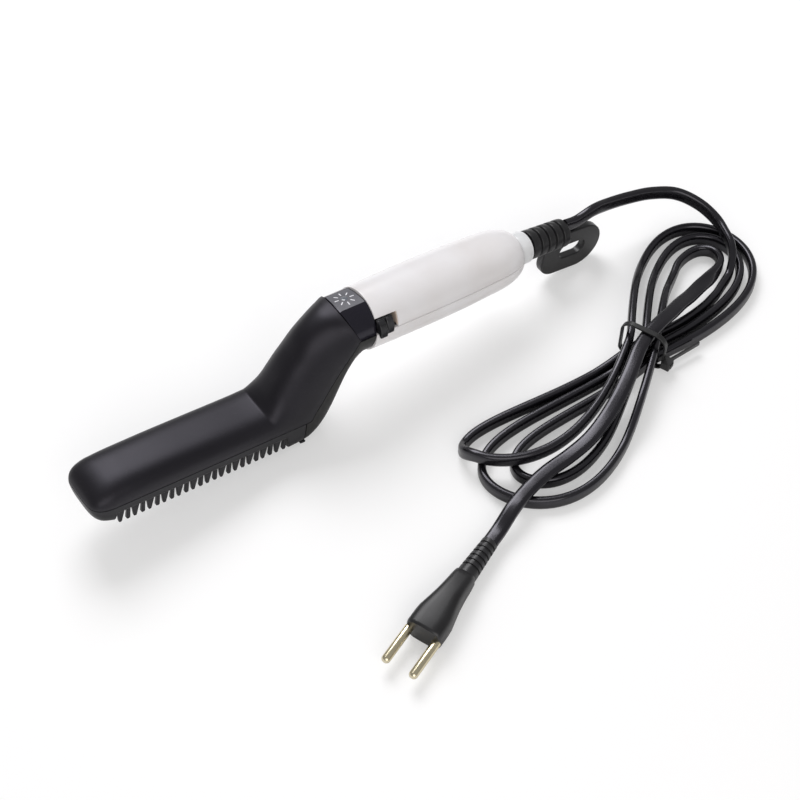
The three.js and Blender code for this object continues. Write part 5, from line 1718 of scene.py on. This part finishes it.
    def guard_exit(self, guard: CordGuard) -> tuple[Vector, Vector]:
        """Finds where the cord leaves the guard.

        Args:
            guard: the guard.

        Returns:
            The place, in millimetres, and the direction.
        """
        matrix = guard.matrix()
        point = matrix @ Vector((guard.length, 0, self.exit_rise))
        aim = (matrix.to_3x3() @ Vector((1, 0, 0))).normalized()
        return point / MM, aim

    def route(self, guard: CordGuard) -> tuple[list[Vector], list[float], dict[str, Vector]]:
        """Lays the whole cord.

        Args:
            guard: the guard that it leaves.

        Returns:
            Its centre points in millimetres, the roll at each, and the plug's place and aim.
        """
        hank = self.hank()
        start, aim = self.guard_exit(guard)
        entry_aim = (hank[0] - hank[1]).normalized()
        lead = [start, start + aim * self.width, *(Vector(p) for p in self.lead_route),
                hank[0] + entry_aim * (self.gap + self.width) + Vector((0, 0, 0.3)),
                hank[0] + entry_aim * self.gap]
        tail_aim = (hank[-1] - hank[-2]).normalized()
        plug_aim = Vector((-math.cos(self.turn), -math.sin(self.turn), 0))
        over_waist, rest = self.over_waist, self.floor_level
        over_loops = self.floor_level + self.width / 2 + self.level_gap + self.thickness / 2
        rear = self.on_floor(*self.plug_place, self.plug_half + 0.1)
        relief = rear - plug_aim * self.relief_length
        # Along the hank from its tie, to its left, and up
        bend = [(68.5, 9.6, rest + 0.2), (73.3, 6.2, rest + 0.7), (75, 1.6, rest + 1.4),
                (73.3, -3, rest + 2.4), (68.5, -6.4, rest + 3.6), (62, -7.5, rest + 4.7),
                (54.5, -7.1, rest + 5.9), (47, -6.2, rest + 7.3), (37, -5.4, rest + 9.0),
                (28, -4.4, rest + 11.4)]
        crossing = [(20, -4.0, over_waist - 1.6), (11, -3.0, over_waist - 0.1), (0, -1.8, over_waist),
                    (-9, -2.2, over_waist), (-20.5, -4.4, over_waist - 0.9), (-35, -6.4, over_waist - 3.2),
                    (-48, -6.8, over_waist - 5.8)]
        run_out = [(-61, -5.8, over_loops + 1.4), (-73.5, -2.6, over_loops + 0.4),
                   (-86, 1.4, over_loops + 0.2), (-98, 3.6, over_loops + 0.2), (-110, 4.4, over_loops)]
        tail = [hank[-1] + tail_aim * self.gap, hank[-1] + tail_aim * (self.gap + self.width),
                *(self.on_floor(*place) for place in bend + crossing + run_out),
                relief - plug_aim * (self.gap + self.width), relief - plug_aim * self.gap]
        lead_points, tail_points = spline(lead, 2.0), spline(tail, 2.0)
        points = lead_points + hank + tail_points
        rolls = [Lay.ON_EDGE.value] * (len(lead_points) + len(hank))
        count = len(tail_points)
        rolls += [Lay.FLAT.value * smooth((i / (count - 1) - self.flat_from) / self.flat_span)
                  for i in range(count)]
        return points, rolls, {"rear": rear, "aim": plug_aim}

    def section(self) -> list[Point2]:
        """Draws the flat jacket: two round cores with a shallow waist.

        Returns:
            The outline's points.
        """
        points = []
        waist_depth, waist_half = 0.05, 0.8
        for angle in circle_angles(28):
            up = boxy(math.sin(angle), 0.72) * self.width / 2
            across = boxy(math.cos(angle), 0.62) * self.thickness / 2
            waist = 1 - waist_depth * math.exp(-((up / waist_half) ** 2))
            points.append((across * waist, up))
        return points

    def build_cord(self, guard: CordGuard) -> dict[str, Vector]:
        """Args:
            guard: the guard that it leaves.

        Returns:
            The plug's place and aim, in millimetres.
        """
        points, rolls, plug = self.route(guard)
        section = self.section()
        up = Vector((0, 0, 1))
        rows = []
        for i, point in enumerate(points):
            along = (points[min(i + 1, len(points) - 1)] - points[max(i - 1, 0)]).normalized()
            across = up.cross(along).normalized()
            over = along.cross(across).normalized()
            cos, sin = math.cos(rolls[i]), math.sin(rolls[i])
            rows.append([point + across * (x * cos - y * sin) + over * (x * sin + y * cos)
                         for x, y in section])
        self.piece = mesh_piece("mains_cord", capped(rows), Matrix.Scale(MM, 4), 50)
        self.path = [tuple(p * MM) for p in points]
        length = sum((b - a).length for a, b in zip(points, points[1:])) * MM
        log.info("mains_cord: %.3f m along its route", length)
        return plug

    def declare(self, with_pieces: list[bpy.types.Object]) -> None:
        """Args:
            with_pieces: the tie and the plug's pieces.
        """
        dress(self.piece, CORD_JACKET, "cord_jacket", replaced=("cord_lead", "cord_hank", "cord_tail"))
        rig.cord(self.piece, exit=self.path[0], length=self.declared_length, diameter=self.width * MM,
                far_end="plug", stiffness="medium", lay="coiled", path=self.path, with_pieces=with_pieces)


def smooth(value: float) -> float:
    """Eases 0 to 1."""
    clamped = min(max(value, 0.0), 1.0)
    return clamped * clamped * (3 - 2 * clamped)


def spline(route: list[Vector], step: float) -> list[Vector]:
    """Runs a centripetal spline through points.

    Args:
        route: the points in millimetres.
        step: the spacing wanted.

    Returns:
        Points along the spline, both ends included.
    """
    padded = [route[0] * 2 - route[1], *route, route[-1] * 2 - route[-2]]
    points = []
    for i in range(1, len(padded) - 2):
        a, b, c, d = padded[i - 1:i + 3]
        ta = 0.0
        tb = ta + math.sqrt((b - a).length)
        tc = tb + math.sqrt((c - b).length)
        td = tc + math.sqrt((d - c).length)
        count = max(2, round((c - b).length / step))
        for k in range(count):
            t = tb + (tc - tb) * k / count
            ab = a * ((tb - t) / (tb - ta)) + b * ((t - ta) / (tb - ta))
            bc = b * ((tc - t) / (tc - tb)) + c * ((t - tb) / (tc - tb))
            cd = c * ((td - t) / (td - tc)) + d * ((t - tc) / (td - tc))
            abc = ab * ((tc - t) / (tc - ta)) + bc * ((t - ta) / (tc - ta))
            bcd = bc * ((td - t) / (td - tb)) + cd * ((t - tb) / (td - tb))
            points.append(abc * ((tc - t) / (tc - tb)) + bcd * ((t - tb) / (tc - tb)))
    return points + [route[-1]]


@dataclass
class CableTie:
    """The black tie round the hank's waist."""

    cord: TiedCord
    band: float = 1.0
    width: float = 2.6
    widest_place: float = 1.18
    clearance: float = 2.2

    def half_waist(self) -> float:
        """Half the bundle's width inside the tie."""
        return self.cord.pitch * self.widest_place + self.cord.thickness / 2 + self.clearance

    def build(self) -> bpy.types.Object:
        """Builds and dresses the strap, its lock and its free end.

        Returns:
            The tie.
        """
        cord, band = self.cord, self.band
        half, top = self.half_waist(), cord.over_waist + cord.thickness / 2 + cord.gap
        outer = rounded([(half + band, 0), (half + band, top + band), (-half - band, top + band),
                         (-half - band, 0)], [4, 6, 6, 4], 8)
        inner = rounded([(half, band), (half, top), (-half, top), (-half, band)], [3, 5, 5, 3], 8)
        rows = []
        for ring, side in ((outer, -1), (outer, 1), (inner, 1), (inner, -1), (outer, -1)):
            rows.append([(side * self.width / 2, r, z) for r, z in ring])
        near = -(half + band / 2)
        lock = self._block((-2.6, 2.6), (near - 4.4, near), (3.4, 7.8))
        lip = self._block((-1.5, 1.5), (near - 4.9, near - 4.2), (4.4, 6.8))
        points, faces = self._block((0, 19), (-0.5, 0.5), (4.4, 6.8))
        lean = Matrix.Translation((1.6, near - 2, 0)) @ Matrix.Rotation(math.radians(-22), 4, "Z")
        free_end = ([tuple(lean @ Vector(p)) for p in points], faces)
        parts = [skin(rows, closed=True), lock, lip, free_end]
        place = Matrix.Scale(MM, 4) @ Matrix.Translation((*cord.tie, 0)) @ Matrix.Rotation(cord.turn, 4, "Z")
        piece = soften(mesh_piece("tie_band", merged(parts), place), 0.25)
        dress(piece, TIE_NYLON, "tie_nylon", replaced=("cable_tie",))
        return piece

    def _block(self, x: Point2, y: Point2, z: Point2) -> Mesh:
        """Makes a box.

        Args:
            x: its span along the hank.
            y: its span across the hank.
            z: its span upwards.

        Returns:
            Its points and faces.
        """
        points = [(a, b, c) for a in x for b in y for c in z]
        faces = [(0, 1, 3, 2), (4, 6, 7, 5), (0, 4, 5, 1), (2, 3, 7, 6), (0, 2, 6, 4), (1, 5, 7, 3)]
        return points, faces


@dataclass
class Plug:
    """The two-pin plug with its ribbed relief."""

    rear: Vector
    aim: Vector
    length: float = 34.0
    pin_spread: float = 6.7
    pin_radius: float = 2.0
    pin_length: float = 19.0
    relief_length: float = RELIEF_LENGTH
    boxiness: float = 0.55

    def matrix(self) -> Matrix:
        """Finds where the plug lies.

        Returns:
            The matrix from plug millimetres to frame metres.
        """
        across = Vector((0, 0, 1)).cross(self.aim)
        turn = Matrix((self.aim, across, Vector((0, 0, 1)))).transposed().to_4x4()
        return Matrix.Scale(MM, 4) @ Matrix.Translation(self.rear) @ turn

    def body(self) -> bpy.types.Object:
        """Builds the tapered grip.

        Returns:
            The grip.
        """
        sections = [(0.0, 4.5, 4.2), (0.6, 4.8, 4.8), (3.0, 5.1, 5.4), (9.0, 5.5, 6.3), (14.0, 6.1, 6.75),
                    (19.0, 7.1, 6.85), (24.0, 8.2, 6.85), (27.0, 8.4, 6.85), (32.6, 8.4, 6.85),
                    (33.5, 8.2, 6.7), (self.length, 7.7, 6.2)]
        rows = []
        for x, across, up in sections:
            row = []
            for angle in circle_angles(48):
                y, z = boxy(math.cos(angle), self.boxiness), boxy(math.sin(angle), self.boxiness)
                row.append((x, y * across, z * up))
            rows.append(row)
        return mesh_piece("plug_grip", capped(rows), self.matrix(), 40)

    def pin(self, side: int) -> bpy.types.Object:
        """Builds one pin with its domed tip.

        Args:
            side: -1 or 1.

        Returns:
            The pin.
        """
        start = self.length - 0.2
        end = self.length + GAP + self.pin_length
        radius = self.pin_radius
        profile = [(start, radius), (end - 1.6, radius), (end - 0.9, radius - 0.25),
                   (end - 0.35, radius - 0.8), (end, radius - 1.9)]
        rows = [[(x, side * self.pin_spread + r * math.cos(a), r * math.sin(a)) for a in circle_angles(32)]
                for x, r in profile]
        name = "plug_pin_left" if side < 0 else "plug_pin_right"
        return mesh_piece(name, capped(rows), self.matrix(), 40)

    def relief(self) -> bpy.types.Object:
        """Builds the relief with its ribs.

        Returns:
            The relief.
        """
        profile = [(-self.relief_length, 1.4), (-self.relief_length, 3.4), (-self.relief_length + 0.3, 3.7)]
        grooves, groove_pitch = 6, 2.7
        for k in range(grooves):
            x = -self.relief_length + 2.2 + groove_pitch * k
            radius = 3.7 + 0.85 * (k + 0.5) / grooves
            floor = radius - 0.5
            profile += [(x, radius), (x + 0.15, floor), (x + 1.0, floor), (x + 1.15, radius + 0.05)]
        profile += [(-0.6, 4.6), (0.2, 4.6), (0.2, 1.4)]
        return turned("plug_relief_ribs", profile, self.matrix(), 0.0, 40, 35)

    def build(self) -> list[bpy.types.Object]:
        """Builds and dresses the plug.

        Returns:
            Its pieces.
        """
        body, relief = self.body(), self.relief()
        pins = [self.pin(-1), self.pin(1)]
        dress(body, GUARD_RUBBER, "guard_rubber", replaced=("plug_body",))
        dress(relief, GUARD_RUBBER, "guard_rubber", replaced=("plug_relief",))
        for pin, node in zip(pins, ("plug_pin_1", "plug_pin_2")):
            dress(pin, PIN_METAL, "pin_brass", replaced=(node,))
        return [body, relief, *pins]


# Carried-over nodes, studio


def dress_nodes() -> None:
    """Gives every CAD node the finish of its record slot."""
    slots = {entry["node"]: entry["material_slot"] for entry in frame["record"]["subparts"]}
    for name, node in frame["nodes"].items():
        finish = SLOT_FINISHES[slots[name]]
        for index in range(max(1, len(node.material_slots))):
            if index < len(node.material_slots):
                node.material_slots[index].material = finish.build()
            else:
                node.data.materials.append(finish.build())
        log.info("%s: carried over as %s", name, finish.name)


@dataclass(frozen=True)
class Lamp:
    """One square soft box, aimed at a point. Metres and watts."""

    name: str
    place: Point3
    aim: Point3
    side: float
    power: float
    colour: Colour

    def hang(self) -> None:
        """Hangs the lamp in the scene."""
        data = bpy.data.lights.new(self.name, "AREA")
        data.shape = "SQUARE"
        data.size = self.side
        data.energy = self.power
        data.color = self.colour
        lamp = placed(self.name, data)
        lamp.location = self.place
        lamp.rotation_mode = "QUATERNION"
        lamp.rotation_quaternion = (Vector(self.aim) - Vector(self.place)).to_track_quat("-Z", "Y")


@dataclass(frozen=True)
class Studio:
    """Camera, floor, world and lamps."""

    camera_place: Point3 = (-0.26891, -0.40205, 0.62813)
    azimuth: float = -36.0
    elevation: float = 52.9
    lens: float = 76.5
    floor_colour: Colour = (0.93, 0.93, 0.93)
    floor_white: float = 0.36
    floor_reach: float = 3.0
    lamps: tuple[Lamp, ...] = (
        Lamp("back_box", (0.20, 0.58, 0.86), (0.0, 0.0, 0.0), side=0.58, power=8.0,
             colour=(0.985, 0.98, 1.0)),
        Lamp("front_fill", (-0.45, -0.95, 0.62), (0.0, 0.0, 0.03), side=1.0, power=7.2,
             colour=(1.0, 0.975, 0.955)))
    room_level: float = 0.42

    def camera(self) -> None:
        """Places the camera at the photograph's angle."""
        data = bpy.data.cameras.new("camera")
        data.lens = self.lens
        data.sensor_width = 36
        data.clip_start = 0.01
        data.clip_end = 20
        azimuth, elevation = math.radians(self.azimuth), math.radians(self.elevation)
        back = Vector((math.sin(azimuth) * math.cos(elevation), -math.cos(azimuth) * math.cos(elevation),
                       math.sin(elevation)))
        eye = placed("camera", data)
        eye.rotation_mode = "QUATERNION"
        eye.location = self.camera_place
        eye.rotation_quaternion = (-back).to_track_quat("-Z", "Y")
        bpy.context.scene.camera = eye

    def floor(self) -> None:
        """Lays the pale floor."""
        mesh = bpy.data.meshes.new("studio_floor")
        reach = self.floor_reach
        corners = [(-reach, -reach, 0), (reach, -reach, 0), (reach, reach, 0), (-reach, reach, 0)]
        mesh.from_pydata(corners, [], [(0, 1, 2, 3)])
        material = bpy.data.materials.new("floor_paper")
        material.use_nodes = True
        graph, nodes = Graph(material.node_tree), material.node_tree.nodes
        paper = nodes["Principled BSDF"]
        graph.feed(paper, {"Base Color": (*self.floor_colour, 1), "Roughness": 0.9,
                           "Specular IOR Level": 0.1})
        white = graph.add("Emission", {"Color": WHITE})
        seen = graph.add("LightPath", {}).outputs["Is Camera Ray"]
        share = graph.maths("MULTIPLY", seen, self.floor_white)
        mix = graph.add("MixShader", {0: share, 1: paper.outputs[0], 2: white.outputs[0]})
        graph.feed(nodes["Material Output"], {"Surface": mix.outputs[0]})
        mesh.materials.append(material)
        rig.stage(placed("studio_floor", mesh))

    def world(self) -> None:
        """Lights the room softly and shows white behind the floor."""
        world = bpy.data.worlds.new("studio")
        bpy.context.scene.world = world
        world.use_nodes = True
        world.node_tree.nodes.clear()
        graph = Graph(world.node_tree)
        soft = graph.add("Background", {"Color": WHITE, "Strength": self.room_level})
        white = graph.add("Background", {"Color": WHITE, "Strength": 1.0})
        seen = graph.add("LightPath", {}).outputs["Is Camera Ray"]
        mix = graph.add("MixShader", {0: seen, 1: soft.outputs[0], 2: white.outputs[0]})
        graph.add("OutputWorld", {"Surface": mix.outputs[0]})

    def build(self) -> None:
        """Sets up the studio."""
        bpy.context.scene.view_settings.view_transform = "Standard"
        self.camera()
        self.floor()
        self.world()
        for lamp in self.lamps:
            lamp.hang()


def main() -> None:
    """Builds the comb and its studio in order."""
    logging.basicConfig(level=logging.INFO, format="%(name)s %(message)s")
    cad_box = [list(corner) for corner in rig.bounds()]
    Studio().build()
    dress_nodes()
    guard = CordGuard()
    cord = TiedCord()
    plug = cord.build_cord(guard)
    tie = CableTie(cord).build()
    pieces = Plug(rear=plug["rear"], aim=plug["aim"]).build()
    cord.declare([tie, *pieces])
    HeadAndNeck().build()
    Collar().build()
    Handle().build()
    SwitchKnob().build()
    guard.build()
    visual_box = [list(corner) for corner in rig.bounds()]
    with open(SIZE_FILE, "w") as out:
        json.dump({"cad": cad_box, "visual": visual_box}, out)


if __name__ == "__main__":
    main()
